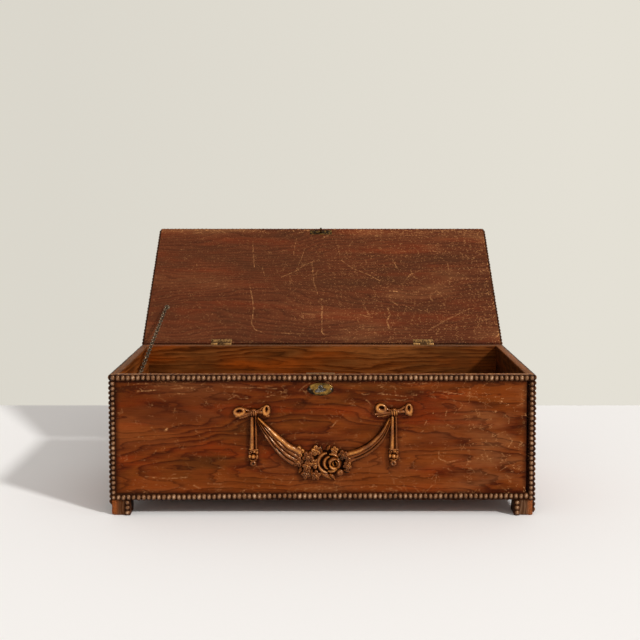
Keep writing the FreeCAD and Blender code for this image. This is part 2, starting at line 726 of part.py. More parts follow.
def case_eye():
    """The screw eye on the left side: a round plate on the wood, a stem, and a ring that stands out."""
    wire, opening, stand = size("link_wire"), size("eye_opening"), size("eye_stand")
    pivot = chain_line()[0]
    foot = Vector(-HALF_WIDTH + size("board_thickness"), pivot.y, pivot.z - (opening + wire) / 2)
    plate = eye_plate(foot, X, Y, Z, 1.0)
    stem = Part.makeCylinder(wire / 2, stand - opening / 2 - wire / 2, foot, X)
    ring = oval_ring(foot + X * stand, X, Z, opening, opening, wire)
    node(coded("case_chain_eye", plate.fuse([stem, ring])))


def lid_stud():
    """The low stud under the lid that holds the last link."""
    foot = Vector(-HALF_WIDTH + size("chain_lid_inset"), AXIS.y - size("chain_lid_reach"), LID_FLOOR)
    washer, plate = size("eye_plate_diameter") / 2, size("eye_plate_thickness")
    rings = []
    for drop, reach in ((0, washer), (plate, washer), (plate, size("stud_diameter") / 2),
                        (size("stud_height"), size("stud_tip_diameter") / 2)):
        rings.append([foot + Vector(across, back, -drop) for across, back in
                      oval_points(reach, reach, STUD_CORNERS)])
    node(coded("lid_chain_stud", faceted(rings)), LID_OPEN)


# ---------------------------------------------------------------- garland
def on_front(across, up, proud=0.0):
    """A point on the front board, or standing proud of it."""
    return Vector(across, -HALF_DEPTH - proud, up)


def knot_across(side):
    """Where a knot of the garland sits across the front."""
    return size("garland_offset") + side * size("knot_spacing") / 2


def lobed(across, up, radius, lobes, low, high):
    """A scalloped boss, like a row of petals, narrowing as it rises."""
    rings = []
    for proud, scale in ((low, 1.0), (high, BOSS_TOP)):
        ring = []
        for step in range(lobes * POINTS_PER_LOBE):
            angle = 2 * math.pi * step / (lobes * POINTS_PER_LOBE)
            reach = radius * scale * (1 + SCALLOP * math.cos(lobes * angle))
            ring.append(on_front(across + reach * math.cos(angle), up + reach * math.sin(angle), proud))
        rings.append(ring)
    return faceted(rings)


def tapered(stations):
    """A carved band through stations of (across, up, width, relief), square to its path."""
    rings = []
    inner, rise = SHOULDER
    for index, (across, up, width, relief) in enumerate(stations):
        before, after = stations[max(index - 1, 0)], stations[min(index + 1, len(stations) - 1)]
        path = Vector(after[0] - before[0], 0, after[1] - before[1]).normalize()
        side = Vector(path.z, 0, -path.x) * (width / 2)
        middle = on_front(across, up)
        shoulder, crown = Y * (rise * relief), Y * relief
        rings.append([middle + side, middle + side * inner - shoulder, middle - crown,
                      middle - side * inner - shoulder, middle - side])
    return faceted(rings)


def oval_slab(across, up, width, height, tilt, thickness):
    """A flat ground on the front board, a tilted oval of straight facets."""
    rim = []
    for wide, tall in oval_points(width / 2, height / 2):
        rim.append(on_front(across + wide * math.cos(tilt) - tall * math.sin(tilt),
                            up + wide * math.sin(tilt) + tall * math.cos(tilt)))
    return Part.Face(Part.makePolygon(rim + rim[:1])).extrude(-Y * thickness)


def bow(name, side):
    """A ribbon bow: two looped ends and a knot."""
    middle, height = knot_across(side), size("knot_height")
    pieces = [lobed(middle, height, size("knot_radius"), KNOT_LOBES, 0, size("garland_relief"))]
    for wing in (-1, 1):
        across, up = middle + wing * size("loop_spread"), height + size("loop_rise")
        tilt, relief = math.radians(wing * size("loop_tilt")), size("loop_relief")
        outer = oval_slab(across, up, size("loop_width"), size("loop_height"), tilt, relief)
        inner = oval_slab(across, up, size("loop_hole_width"), size("loop_hole_height"), tilt, relief)
        pieces.append(outer.cut(inner))
    node(coded(f"{name}_bow", pieces[0].fuse(pieces[1:])))


def drop(name, side):
    """The ribbon end that hangs below a knot, with its tassel."""
    middle, relief, ribbon = knot_across(side), size("garland_relief"), size("ribbon_relief")
    top = size("knot_height") - size("knot_radius") - size("drop_gap")
    bottom = size("knot_height") - size("drop_length")
    shoulder = bottom + size("tassel_length")
    stations = [(middle, top, size("ribbon_start_width"), ribbon),
                (middle, shoulder, size("ribbon_end_width"), ribbon),
                (middle, shoulder - size("tassel_step"), size("tassel_neck_width"), relief),
                (middle, bottom, size("tassel_width"), ribbon)]
    node(coded(f"{name}_drop", tapered(stations)))


def swag(name, side):
    """The leafy rope from a knot down to the flowers, swelling as it goes."""
    start = knot_across(side) - side * (size("knot_radius") + size("swag_gap"))
    finish = size("garland_offset") + side * size("swag_end_spread")
    top = size("knot_height") - size("swag_start_drop")
    thin, thick = size("swag_start_width"), size(f"{name}_swag_width")
    low, high = size("ribbon_relief"), size("swag_relief")
    stations = []
    for step in range(SWAG_STEPS + 1):
        part = step / SWAG_STEPS
        stations.append((start + (finish - start) * part, top - size("swag_fall") * part ** SWAG_BEND,
                         thin + (thick - thin) * part ** SWAG_SWELL, low + (high - low) * part))
    return tapered(stations)


def festoon():
    """Swags, rose, small flowers and leaves, carved from one strip of wood on one ground."""
    centre, low = size("garland_offset"), size("knot_height") - size("garland_drop")
    relief, ground, half = size("garland_relief"), size("ground_relief"), size("spray_width") / 2
    pieces = [oval_slab(centre, low, size("spray_width"), size("spray_height"), 0, ground)]
    pieces += [swag(name, side) for name, side in SIDES]
    floor = ground
    for scale, rise in ROSE_RINGS:
        top = floor + rise * (relief - ground)
        radius = size("rose_radius") * scale
        pieces.append(lobed(centre + size("rose_offset"), low, radius, ROSE_LOBES, floor, top))
        floor = top
    for across, up in FLOWERS:
        pieces.append(lobed(centre + across * half, low + up * half, size("flower_radius"), FLOWER_LOBES,
                            ground, size("flower_relief")))
    node(coded("festoon", pieces[0].fuse(pieces[1:])))


def garland():
    """The carved hanging on the front."""
    for name, side in SIDES:
        bow(name, side)
        drop(name, side)
    festoon()


# ---------------------------------------------------------------- build, test and write
def main():
    """Make every sub-part, refuse a broken one and write them all."""
    makers = (front_board, back_board, side_boards, bottom_board, feet, case_strips, foot_strips,
              lid_strips, lid_board, hinges, lock_case, selvedge, bolt, escutcheon, key, link_plate,
              chain, case_eye, lid_stud, garland)
    for make in makers:
        make()
    doc.recompute()
    for item in doc.Objects:
        if "Invalid" in item.State or "Error" in item.State:
            raise RuntimeError(f"{item.Label} failed: {item.State}")
    os.makedirs("parts", exist_ok=True)
    for label, item in nodes.items():
        if item.Shape.isNull() or not item.Shape.isValid():
            raise RuntimeError(f"{label} has no valid shape")
        item.Shape.exportStep(f"parts/{label}.step")
    print(len(nodes), "sub-parts written")


main()
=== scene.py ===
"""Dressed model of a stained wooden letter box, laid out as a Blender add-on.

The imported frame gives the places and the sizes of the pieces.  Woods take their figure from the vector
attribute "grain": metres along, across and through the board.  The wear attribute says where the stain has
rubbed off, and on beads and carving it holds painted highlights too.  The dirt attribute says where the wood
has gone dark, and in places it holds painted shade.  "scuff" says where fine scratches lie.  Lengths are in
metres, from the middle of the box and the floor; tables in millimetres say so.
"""

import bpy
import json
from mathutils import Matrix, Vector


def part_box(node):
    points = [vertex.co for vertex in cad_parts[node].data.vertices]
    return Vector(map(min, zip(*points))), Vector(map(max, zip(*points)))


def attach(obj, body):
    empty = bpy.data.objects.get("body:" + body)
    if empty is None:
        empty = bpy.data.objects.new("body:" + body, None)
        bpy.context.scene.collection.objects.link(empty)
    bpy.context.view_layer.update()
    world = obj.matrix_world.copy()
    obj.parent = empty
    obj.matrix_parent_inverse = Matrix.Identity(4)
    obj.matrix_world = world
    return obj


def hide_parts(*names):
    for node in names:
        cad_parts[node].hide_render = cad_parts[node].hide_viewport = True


bl_info = {
    "name": "Letter Box with Beaded Edges",
    "version": (1, 0, 0),
    "blender": (4, 5, 0),
    "location": "3D View > Sidebar > Letter Box",
    "description": "Builds the boards, beaded strips, carving, lock, hinges, chain and stage of a letter box",
    "category": "Object",
}

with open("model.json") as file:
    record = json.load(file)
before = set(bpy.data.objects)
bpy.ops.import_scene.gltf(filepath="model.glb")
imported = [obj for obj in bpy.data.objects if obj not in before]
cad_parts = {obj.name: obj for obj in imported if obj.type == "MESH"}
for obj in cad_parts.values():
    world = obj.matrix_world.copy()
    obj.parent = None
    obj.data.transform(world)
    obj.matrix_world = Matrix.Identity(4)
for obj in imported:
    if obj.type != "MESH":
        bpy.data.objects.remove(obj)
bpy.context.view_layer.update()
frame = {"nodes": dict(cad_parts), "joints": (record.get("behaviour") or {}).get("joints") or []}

import json
import math
import random
from collections import namedtuple

import bmesh
import bpy
import numpy as np
from mathutils import Matrix, Vector, noise

MM = 0.001

# Planes and lines of the frame, in metres
FRONT_LOW, FRONT_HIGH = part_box("front_board")
FRONT = FRONT_LOW.y
FRONT_BACK = FRONT_HIGH.y
RIM = FRONT_HIGH.z
HALF_WIDTH = FRONT_HIGH.x
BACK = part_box("back_board")[1].y
HINGE_JOINT = next(joint for joint in frame["joints"] if joint["name"] == "lid_hinge")
CHAIN_JOINTS = [joint for joint in frame["joints"] if joint["name"].startswith("chain_fold")]
HINGE_AXIS = Vector(HINGE_JOINT["pos_m"])
OPEN_TURN = Matrix.Rotation(-math.radians(HINGE_JOINT["range_deg"][1]), 4, "X")
LID_OPEN = Matrix.Translation(HINGE_AXIS) @ OPEN_TURN @ Matrix.Translation(-HINGE_AXIS)
LID_SHUT = LID_OPEN.inverted()
SIDES = (("left", -1), ("right", 1))

CREASE = math.radians(38)  # edges sharper than this stay sharp
TOUCHING = 1e-6  # points closer than this are one point


def srgb(red, green, blue):
    """A screen colour as the linear numbers that shaders take."""
    def linear(channel):
        part = channel / 255
        return part / 12.92 if part <= 0.04045 else ((part + 0.055) / 1.055) ** 2.4
    return (linear(red), linear(green), linear(blue))


# ---------------------------------------------------------------- settings
def colour(name, description, red, green, blue):
    """A colour property."""
    return bpy.props.FloatVectorProperty(name=name, description=description, default=srgb(red, green, blue),
                                         subtype="COLOR", size=3, min=0.0, max=1.0)


def length(name, description, default):
    """A length property, in metres."""
    return bpy.props.FloatProperty(name=name, description=description, default=default, min=0.0,
                                   unit="LENGTH", subtype="DISTANCE", precision=5)


def share(name, description, default, top=1.0):
    """A plain factor."""
    return bpy.props.FloatProperty(name=name, description=description, default=default, min=0.0, max=top,
                                   subtype="FACTOR")


class LetterBoxWood(bpy.types.PropertyGroup):
    """Colours and wear of the woods."""

    front_dark: colour("Front dark", "Late wood of the front", 54, 14, 1)
    front_middle: colour("Front middle", "Body colour of the front", 104, 42, 9)
    front_light: colour("Front light", "Early wood of the front", 138, 67, 19)
    front_warm: colour("Front warm", "Orange streaks of the front", 150, 52, 6)
    front_dull: colour("Front dull", "Brown zones of the front", 88, 46, 12)
    lid_dark: colour("Lid dark", "Late wood under the lid", 60, 27, 13)
    lid_middle: colour("Lid middle", "Body colour under the lid", 98, 49, 26)
    lid_light: colour("Lid light", "Early wood under the lid", 118, 62, 34)
    lid_warm: colour("Lid warm", "Red streaks under the lid", 122, 53, 25)
    lid_dull: colour("Lid dull", "Brown zones under the lid", 84, 47, 26)
    case_dark: colour("Case dark", "Late wood of the other boards", 50, 18, 3)
    case_middle: colour("Case middle", "Body colour of the other boards", 124, 60, 16)
    case_light: colour("Case light", "Early wood of the other boards", 174, 104, 48)
    case_warm: colour("Case warm", "Orange zones of the other boards", 172, 76, 12)
    case_dull: colour("Case dull", "Brown zones of the other boards", 96, 52, 18)
    # dark tones of beads and carving: dirt and painted shade in the hollows; light tones: rubbed crests with
    # a painted highlight
    bead_dark: colour("Bead dark", "Between the beads", 46, 23, 12)
    bead_middle: colour("Bead middle", "Body colour of the beads", 112, 72, 44)
    bead_light: colour("Bead light", "Crowns of the beads", 186, 148, 116)
    carved_dark: colour("Carving dark", "Recesses of the carving", 28, 10, 2)
    carved_middle: colour("Carving middle", "Body colour of the carving", 112, 56, 19)
    carved_light: colour("Carving light", "Rubbed crests of the carving", 200, 128, 56)
    bare: colour("Bare wood", "Wood under the stain, in scratches", 208, 146, 90)
    rim: colour("Rim", "Greyed wood where the rim of the case is rubbed", 122, 98, 76)
    raw: colour("Broken wood", "Fresh wood of the broken foot", 158, 84, 40)
    varnish: colour("Varnish", "Tint of the shine on beads and carving", 255, 224, 184)
    gloss: share("Varnish roughness", "Roughness of the old varnish", 0.42)


class LetterBoxMetal(bpy.types.PropertyGroup):
    """Colours of the metals."""

    brass: colour("Brass", "Rubbed brass", 188, 142, 86)
    brass_tarnish: colour("Brass tarnish", "Tarnish on the brass", 66, 41, 17)
    plate: colour("Plate", "Brass of the escutcheon", 162, 122, 58)
    plate_tarnish: colour("Plate tarnish", "Brown tarnish on the escutcheon", 34, 21, 8)
    steel: colour("Steel", "Rubbed steel of the key", 172, 164, 152)
    steel_tarnish: colour("Steel tarnish", "Rust and dirt on the steel", 30, 21, 15)
    chain: colour("Chain", "Rubbed metal of the chain", 164, 142, 116)
    chain_tarnish: colour("Chain tarnish", "Dirt between the links", 30, 20, 12)


class LetterBoxSizes(bpy.types.PropertyGroup):
    """Sizes of what the frame doesn't give."""

    bead_pitch: length("Bead pitch", "From one bead to the next", 0.00666)
    edge_round: length("Rounded edge", "Radius of the worn board edges", 0.0007)
    face_step: length("Painted step", "Spacing of the points that carry scratches", 0.0011)
    face_warp: length("Board warp", "Unevenness of the front and of the lid", 0.0003)
    crack_depth: length("Crack depth", "Depth of the open joint at the right of the front", 0.0040)
    link_wire: length("Link wire", "Diameter of the chain's wire", 0.0013)
    link_opening: length("Link opening", "Width of the opening of a link", 0.0036)
    screw_head: length("Screw head", "Diameter of the small screws", 0.0034)


class LetterBoxStage(bpy.types.PropertyGroup):
    """Camera, light and ground."""

    floor: colour("Floor", "Colour of the table", 243, 241, 238)
    backdrop: colour("Backdrop", "Colour behind the table", 225, 221, 210)
    focal: share("Focal length", "Focal length over the width of the sensor", 1052.45 / 640, 10.0)
    camera_back: length("Camera distance", "From the middle of the box to the camera", 1.5080)
    camera_height: length("Camera height", "Above the table", 0.4425)
    camera_pitch: bpy.props.FloatProperty(name="Camera pitch", description="Downward tilt",
                                          default=math.radians(3.0), unit="ROTATION", subtype="ANGLE")
    shift_across: bpy.props.FloatProperty(name="Shift across", description="Lens shift", default=-0.0036)
    shift_up: bpy.props.FloatProperty(name="Shift up", description="Lens shift", default=-0.1293)
    key_strength: share("Key light", "Strength of the small lamp at the right", 2.1, 20.0)
    soft_power: bpy.props.FloatProperty(name="Soft light", description="Power of the large lamp at the right",
                                        default=3.4, min=0.0, unit="POWER")
    ambient: share("Ambient", "Strength of the light from all round", 0.575, 5.0)


# ---------------------------------------------------------------- node trees
class Tree:
    """Short calls that make the nodes of a material or a world."""

    def __init__(self, owner):
        """Start from the nodes that a new material or world has."""
        owner.use_nodes = True
        self.owner = owner
        self.nodes = owner.node_tree.nodes
        self.links = owner.node_tree.links

    def node(self, kind, inputs=(), **settings):
        """A node with its settings; inputs are (socket, value or socket)."""
        made = self.nodes.new(kind)
        for name, value in settings.items():
            setattr(made, name, value)
        for socket, value in inputs:
            self.feed(made.inputs[socket], value)
        return made

    def feed(self, socket, value):
        """Link a socket, or set its value."""
        if isinstance(value, bpy.types.NodeSocket):
            self.links.new(value, socket)
        else:
            socket.default_value = value

    def shade(self, name, value):
        """Give the material's shader one of its values."""
        self.feed(self.nodes["Principled BSDF"].inputs[name], value)

    def math(self, operation, first, second=0.0, clamp=False):
        """A number worked out from one or two others."""
        return self.node("ShaderNodeMath", ((0, first), (1, second)), operation=operation,
                         use_clamp=clamp).outputs[0]

    def plus(self, first, second):
        """A sum."""
        return self.math("ADD", first, second)

    def minus(self, first, second):
        """A difference."""
        return self.math("SUBTRACT", first, second)

    def times(self, first, second, clamp=False):
        """A product."""
        return self.math("MULTIPLY", first, second, clamp)

    def mix(self, amount, first, second, blend="MIX"):
        """A mix of two colours."""
        made = self.node("ShaderNodeMix", data_type="RGBA", blend_type=blend)
        for socket, value in ((0, amount), (6, first), (7, second)):
            self.feed(made.inputs[socket], value)
        return made.outputs[2]

    def layers(self, base, *coats):
        """Colours laid over a base one after the other; each coat is (cover, colour)."""
        for cover, tone in coats:
            base = self.mix(cover, base, tone)
        return base

    def noise(self, vector, along, across, detail=2.0, roughness=0.5):
        """Noise with so many swells per metre along the grain and across it."""
        stretched = self.node("ShaderNodeVectorMath", ((0, vector), (1, (along, across, across))),
                              operation="MULTIPLY").outputs[0]
        return self.node("ShaderNodeTexNoise", (("Vector", stretched), ("Scale", 1.0), ("Detail", detail),
                                                ("Roughness", roughness))).outputs["Fac"]

    def steps(self, value, stops):
        """A ramp through (place, colour)."""
        ramp = self.node("ShaderNodeValToRGB", (("Fac", value),))
        while len(ramp.color_ramp.elements) < len(stops):
            ramp.color_ramp.elements.new(1.0)
        for element, (place, tone) in zip(ramp.color_ramp.elements, stops):
            element.position = place
            element.color = tone
        return ramp.outputs["Color"]

    def range(self, value, low, high, to_low=0.0, to_high=1.0):
        """A number moved from one range to another, held at its ends."""
        return self.node("ShaderNodeMapRange", (("Value", value), ("From Min", low), ("From Max", high),
                                                ("To Min", to_low), ("To Max", to_high)),
                         clamp=True).outputs["Result"]

    def painted(self, name):
        """The number that a mesh attribute holds."""
        return self.node("ShaderNodeAttribute", attribute_name=name, attribute_type="GEOMETRY").outputs["Fac"]

    def grain(self):
        """The place in the board: along, across and through it."""
        return self.node("ShaderNodeAttribute", attribute_name="grain",
                         attribute_type="GEOMETRY").outputs["Vector"]

    def object_place(self):
        """The place in the object's own axes."""
        return self.node("ShaderNodeTexCoord").outputs["Object"]

    def bump(self, height, strength, distance):
        """Relief from a height."""
        made = self.node("ShaderNodeBump", (("Height", height), ("Strength", strength),
                                            ("Distance", distance)))
        self.shade("Normal", made.outputs["Normal"])


def full(tone):
    """A colour with its alpha."""
    return (*tone, 1.0)


def between(first, second):
    """The colour half way between two."""
    return full((part + other) / 2 for part, other in zip(first, second))


Figure = namedtuple("Figure", (
    "lines",  # dark lines per metre across the board
    "islands",  # how far slow noise moves them, in lines
    "ripple",  # how far fast noise moves them, in lines
    "slow",  # swells per metre of the slow noise, along and across
    "fast",  # and of the fast noise
    "strength",  # how strongly the lines show
    "pools",  # how strongly pale and dark pools show
))
FIGURES = {
    "front": Figure(46.0, 5.6, 0.7, (4.6, 21.0), (26.0, 110.0), 0.45, 0.5),
    "lid": Figure(125.0, 8.5, 0.8, (3.4, 8.0), (20.0, 80.0), 0.22, 0.15),
    "case": Figure(90.0, 5.0, 1.2, (2.4, 20.0), (12.0, 110.0), 0.34, 0.4),
    "strip": Figure(300.0, 2.0, 0.5, (20.0, 80.0), (60.0, 300.0), 0.3, 0.0),
}


def year_rings(tree, grain, figure):
    """Year rings as a number from 0 to 1 from line to line; slow noise closes them into islands."""
    across = tree.node("ShaderNodeSeparateXYZ", ((0, grain),)).outputs[1]
    swell = tree.times(tree.minus(tree.noise(grain, *figure.slow, 2.0, 0.45), 0.5), 2 * figure.islands)
    waver = tree.times(tree.minus(tree.noise(grain, *figure.fast, 3.0, 0.6), 0.5), 2 * figure.ripple)
    return tree.math("FRACT", tree.plus(tree.times(across, figure.lines), tree.plus(swell, waver)))


def stained(tree, grain, ring, tones, figure, bare):
    """The stain's colour, with bands, pools, warm streaks, a pale haze where scuffed, and dull zones."""
    dark, middle, light, warm, dull = (full(tone) for tone in tones)
    banded = tree.steps(ring, ((0.0, middle), (0.2, light), (0.6, middle), (0.9, dark), (1.0, middle)))
    blotch = tree.noise(grain, 6.0, 19.0, 4.0, 0.62)
    moved = tree.node("ShaderNodeVectorMath", ((0, grain), (1, (0.7, 0.3, 0.0))), operation="ADD").outputs[0]
    streak = tree.noise(moved, 5.0, 34.0)
    island = tree.noise(grain, 3.6, 15.0, 3.0)
    haze = tree.times(tree.painted("scuff"), tree.range(blotch, 0.5, 0.62, 0.0, 0.34))
    return tree.layers(
        middle,
        (0.35 + figure.strength, banded),
        (tree.range(blotch, 0.36, 0.68, 0.0, 0.7), middle),
        (tree.range(streak, 0.52, 0.66, 0.0, 0.75), warm),
        (tree.range(island, 0.51, 0.56, 0.0, figure.pools), light),
        (tree.range(island, 0.40, 0.46, figure.pools, 0.0), tree.mix(0.5, middle, dark)),
        (haze, between(tones[2], bare)),
        (tree.range(blotch, 0.34, 0.5, 0.75, 0.0), dull),
        (tree.range(ring, 0.78, 0.93, 0.0, figure.strength), dark))


def scratched(tree, grain, rubbed, strength, specks):
    """Gaps in the painted scratches, and fine broken lines and specks where the board is scuffed."""
    rubbed = tree.times(rubbed, tree.range(tree.noise(grain, 190.0, 190.0, 2.0, 0.6), 0.41, 0.53, 0.12, 1.0))
    line = tree.math("ABSOLUTE", tree.minus(tree.noise(grain, 120.0, 190.0, 1.5), 0.5))
    broken = tree.range(tree.noise(grain, 70.0, 70.0, 3.0, 0.6), 0.53, 0.63)
    zone = tree.range(tree.painted("scuff"), 0.0, 1.0, 0.1, 1.0)
    marks = tree.times(tree.range(line, 0.016, 0.004), tree.times(broken, zone))
    if specks:
        speck = tree.range(tree.noise(grain, 380.0, 380.0, 1.0), 0.63, 0.70)
        marks = tree.math("MAXIMUM", marks, tree.times(speck, tree.times(zone, zone)))
    return tree.math("MAXIMUM", rubbed, tree.times(marks, strength))


def wood(name, tones, figure, bare, gloss, scratches=0.0, specks=False):
    """Stained softwood with fibres, flecks, grime, painted shade in places, and rubbed places."""
    tree = Tree(bpy.data.materials.new(name))
    grain = tree.grain()
    dark = full(tones[0])
    ring = year_rings(tree, grain, figure)
    fibre = tree.noise(grain, 30.0, 1500.0, 2.0, 0.6)
    fleck = tree.range(tree.noise(grain, 70.0, 1100.0, 1.0), 0.62, 0.78)
    stain = stained(tree, grain, ring, tones, figure, bare)
    streaked = tree.mix(tree.range(fibre, 0.25, 0.75, 0.0, 0.4), stain, dark, "MULTIPLY")
    # darkened by dirt, and by painted shade where that is painted into the same attribute
    dirt_and_shade = tree.times(tree.painted("dirt_and_shade"),
                      tree.range(tree.noise(grain, 60.0, 140.0, 3.0), 0.2, 0.6, 0.55, 1.0), clamp=True)
    darkening = full(part * 0.3 for part in tones[0])
    rubbed = tree.times(tree.painted("wear_and_highlight"),
                        tree.range(tree.noise(grain, 500.0, 900.0, 3.0, 0.7), 0.38, 0.6), clamp=True)
    if scratches:
        rubbed = scratched(tree, grain, rubbed, scratches, specks)
    tree.shade("Base Color", tree.layers(streaked, (tree.times(fleck, 0.5), dark), (dirt_and_shade, darkening),
                                         (rubbed, full(bare))))
    tree.shade("Roughness", tree.plus(tree.range(fibre, 0.2, 0.8, gloss - 0.05, gloss + 0.12),
                                      tree.times(rubbed, 0.2)))
    raised = tree.plus(tree.times(fibre, 0.6), tree.times(ring, 0.25))
    tree.bump(tree.minus(raised, tree.plus(rubbed, tree.times(fleck, 0.4))), 0.4, 0.00025)
    tree.shade("Specular IOR Level", 0.05)


def turned(name, tones, gloss, sheen, low_crest):
    """Beads and carving: dirt and painted shade in the hollows; pale glossy crests, rubbed and painted as
    highlights.
    """
    tree = Tree(bpy.data.materials.new(name))
    grain, wear_and_highlight = tree.grain(), tree.painted("wear_and_highlight")
    speck = tree.noise(grain, 520.0, 520.0, 4.0, 0.65)
    cloud = tree.noise(grain, 60.0, 60.0)
    uneven = tree.plus(tree.range(speck, 0.2, 0.8, -0.2, 0.2), tree.range(cloud, 0.3, 0.7, -0.22, 0.2))
    dark, middle, light = (full(tone) for tone in tones)
    # the ramp paints dirt and shade in the hollows, and rubbing and highlights on the crests
    tree.shade("Base Color", tree.steps(tree.times(tree.plus(wear_and_highlight, uneven), 0.88),
                                        ((0.1, dark), (0.4, middle), (low_crest, middle), (0.96, light))))
    tree.shade("Roughness", tree.range(speck, 0.2, 0.8, gloss - 0.06, gloss + 0.12))
    tree.bump(speck, 0.25, 0.0002)
    tree.shade("Specular IOR Level", tree.range(wear_and_highlight, 0.1, 0.95, 0.03, sheen))
    tree.shade("Specular Tint", full(bpy.context.scene.letter_box_wood.varnish))


def metal(name, bright, tarnish, roughness, spread, patches):
    """Old metal, tarnished in patches and where it is painted dirty, which on the escutcheon is partly
    painted shade.
    """
    tree = Tree(bpy.data.materials.new(name))
    place = tree.object_place()
    patch = tree.noise(place, patches, patches, 4.0, 0.65)
    grit = tree.noise(place, 1900.0, 1900.0)
    level = tree.minus(tree.plus(patch, tree.times(grit, 0.25)), tree.times(tree.painted("dirt_and_shade"), 0.34))
    clean = tree.range(level, spread - 0.12, spread + 0.14)
    tree.shade("Base Color", tree.mix(clean, full(tarnish), full(bright)))
    tree.shade("Metallic", tree.range(clean, 0.0, 1.0, 0.85, 0.95))
    tree.shade("Roughness", tree.range(clean, 0.0, 1.0, roughness + 0.2, roughness))
    tree.bump(grit, 0.2, 0.0001)


STAINED_BOARDS = {  # roughness over the varnish's own, strength of the scratches, specks, what lies bare
    "front": (0.0, 0.8, False, "bare"),
    "lid": (0.06, 0.8, True, "bare"),
    "case": (0.06, 0.0, False, "rim"),
}
METALS = {  # the settings that colour it, roughness, spread of the tarnish, patches per metre
    "old_brass": ("brass", 0.32, 0.58, 360.0),
    "dark_brass": ("plate", 0.4, 0.72, 300.0),
    "plate_brass": ("plate", 0.26, 0.6, 150.0),
    "worn_steel": ("steel", 0.28, 0.66, 420.0),
    "worn_chain": ("chain", 0.36, 0.63, 320.0),
}


def woods():
    """The woods, made once."""
    look = bpy.context.scene.letter_box_wood
    if "bead_stain_and_shade" not in bpy.data.materials:
        for board, (rougher, scratches, specks, bare) in STAINED_BOARDS.items():
            tones = [getattr(look, f"{board}_{tone}") for tone in ("dark", "middle", "light", "warm", "dull")]
            wood(f"{board}_stain", tones, FIGURES[board], getattr(look, bare), look.gloss + rougher,
                 scratches, specks)
        beads = (look.bead_dark, look.bead_middle, look.bead_light)
        carving = (look.carved_dark, look.carved_middle, look.carved_light)
        wood("strip_stain", (*beads, look.case_warm, look.case_dull), FIGURES["strip"], look.raw, look.gloss)
        turned("bead_stain_and_shade", beads, look.gloss - 0.14, 0.8, 0.62)
        turned("carved_stain_and_shade", carving, look.gloss - 0.18, 0.75, 0.58)
    return bpy.data.materials


def metals():
    """The metals, made once."""
    look = bpy.context.scene.letter_box_metal
    if "old_brass" not in bpy.data.materials:
        for name, (kind, roughness, spread, patches) in METALS.items():
            metal(name, getattr(look, kind), getattr(look, f"{kind}_tarnish"), roughness, spread, patches)
    return bpy.data.materials


# ---------------------------------------------------------------- mesh code
class Form:
    """Points, faces and paint of a piece while it is made."""

    def __init__(self):
        """Nothing yet."""
        self.points = []
        self.faces = []
        # wear also carries painted highlights, dirt also painted shade
        self.wear_and_highlight = []
        self.dirt_and_shade = []

    def add(self, points, faces, wear_and_highlight=None):
        """More points and faces, with their wear."""
        base = len(self.points)
        self.points += points
        self.faces += [tuple(base + corner for corner in face) for face in faces]
        self.wear_and_highlight += wear_and_highlight if wear_and_highlight is not None else [0.0] * len(points)
        self.dirt_and_shade += [0.0] * len(points)

    def skin(self, rows, wear_and_highlight=None, around=False, ends=False):
        """Faces between rows of equally many points; around closes the rows, ends fills the outer two."""
        count = len(rows[0])
        faces = []
        for row in range(len(rows) - 1):
            for place in range(count if around else count - 1):
                after = (place + 1) % count
                faces.append((row * count + place, row * count + after,
                              (row + 1) * count + after, (row + 1) * count + place))
        if ends:
            faces.append(tuple(reversed(range(count))))
            faces.append(tuple(range((len(rows) - 1) * count, len(rows) * count)))
        flat = [point for row in rows for point in row]
        self.add(flat, faces, [value for row in wear_and_highlight for value in row] if wear_and_highlight else None)

    def mesh(self, name, axes="XZY", turn=None):
        """The finished mesh; axes says which way the grain runs, turn moves it to where it rests."""
        made = bpy.data.meshes.new(name)
        made.from_pydata([tuple(point) for point in self.points], [], self.faces)
        paint(made, axes, self.wear_and_highlight, self.dirt_and_shade)
        if turn is not None:
            made.transform(turn)
        smooth(made)
        return made

    def stand_for(self, node, material, body, axes="XZY", turn=None):
        """Make the piece that stands for a node."""
        name = node + "_piece"
        piece(name, self.mesh(name, axes, turn), material, body, node)


def paint(made, axes, wear_and_highlight=None, dirt_and_shade=None, shift=0.0, scuff=None):
    """Write the attributes that the materials read."""
    places = np.zeros(len(made.vertices) * 3, np.float32)
    made.vertices.foreach_get("co", places)
    grain = places.reshape(-1, 3)[:, ["XYZ".index(axis) for axis in axes]] + np.float32(shift)
    made.attributes.new("grain", "FLOAT_VECTOR", "POINT").data.foreach_set("vector", grain.ravel())
    # wear also carries painted highlights of beads and carving, dirt also painted shade in places
    for name, values in (("wear_and_highlight", wear_and_highlight), ("dirt_and_shade", dirt_and_shade), ("scuff", scuff)):
        if values is not None:
            data = made.attributes.new(name, "FLOAT", "POINT").data
            data.foreach_set("value", np.asarray(values, np.float32))


def smooth(made):
    """Smooth shading, with creases kept sharp."""
    shape = bmesh.new()
    shape.from_mesh(made)
    bmesh.ops.recalc_face_normals(shape, faces=shape.faces)
    for face in shape.faces:
        face.smooth = True
    for edge in shape.edges:
        edge.smooth = len(edge.link_faces) != 2 or edge.calc_face_angle(0.0) < CREASE
    shape.to_mesh(made)
    shape.free()


def add_object(name, made):
    """An object of the scene."""
    item = bpy.data.objects.new(name, made)
    bpy.context.scene.collection.objects.link(item)
    return item


def piece(name, made, material, body, *replaced):
    """An object that rides on a body and stands for the nodes named."""
    item = add_object(name, made)
    item.data.materials.append(material)
    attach(item, body)
    if replaced:
        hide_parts(*replaced)


def smooth_piece(node, made, material, body):
    """Smooth a mesh and let it stand for a node."""
    smooth(made)
    piece(node + "_piece", made, material, body, node)


def unit(axis):
    """The direction of an axis."""
    return Vector([1.0 if place == axis else 0.0 for place in range(3)])


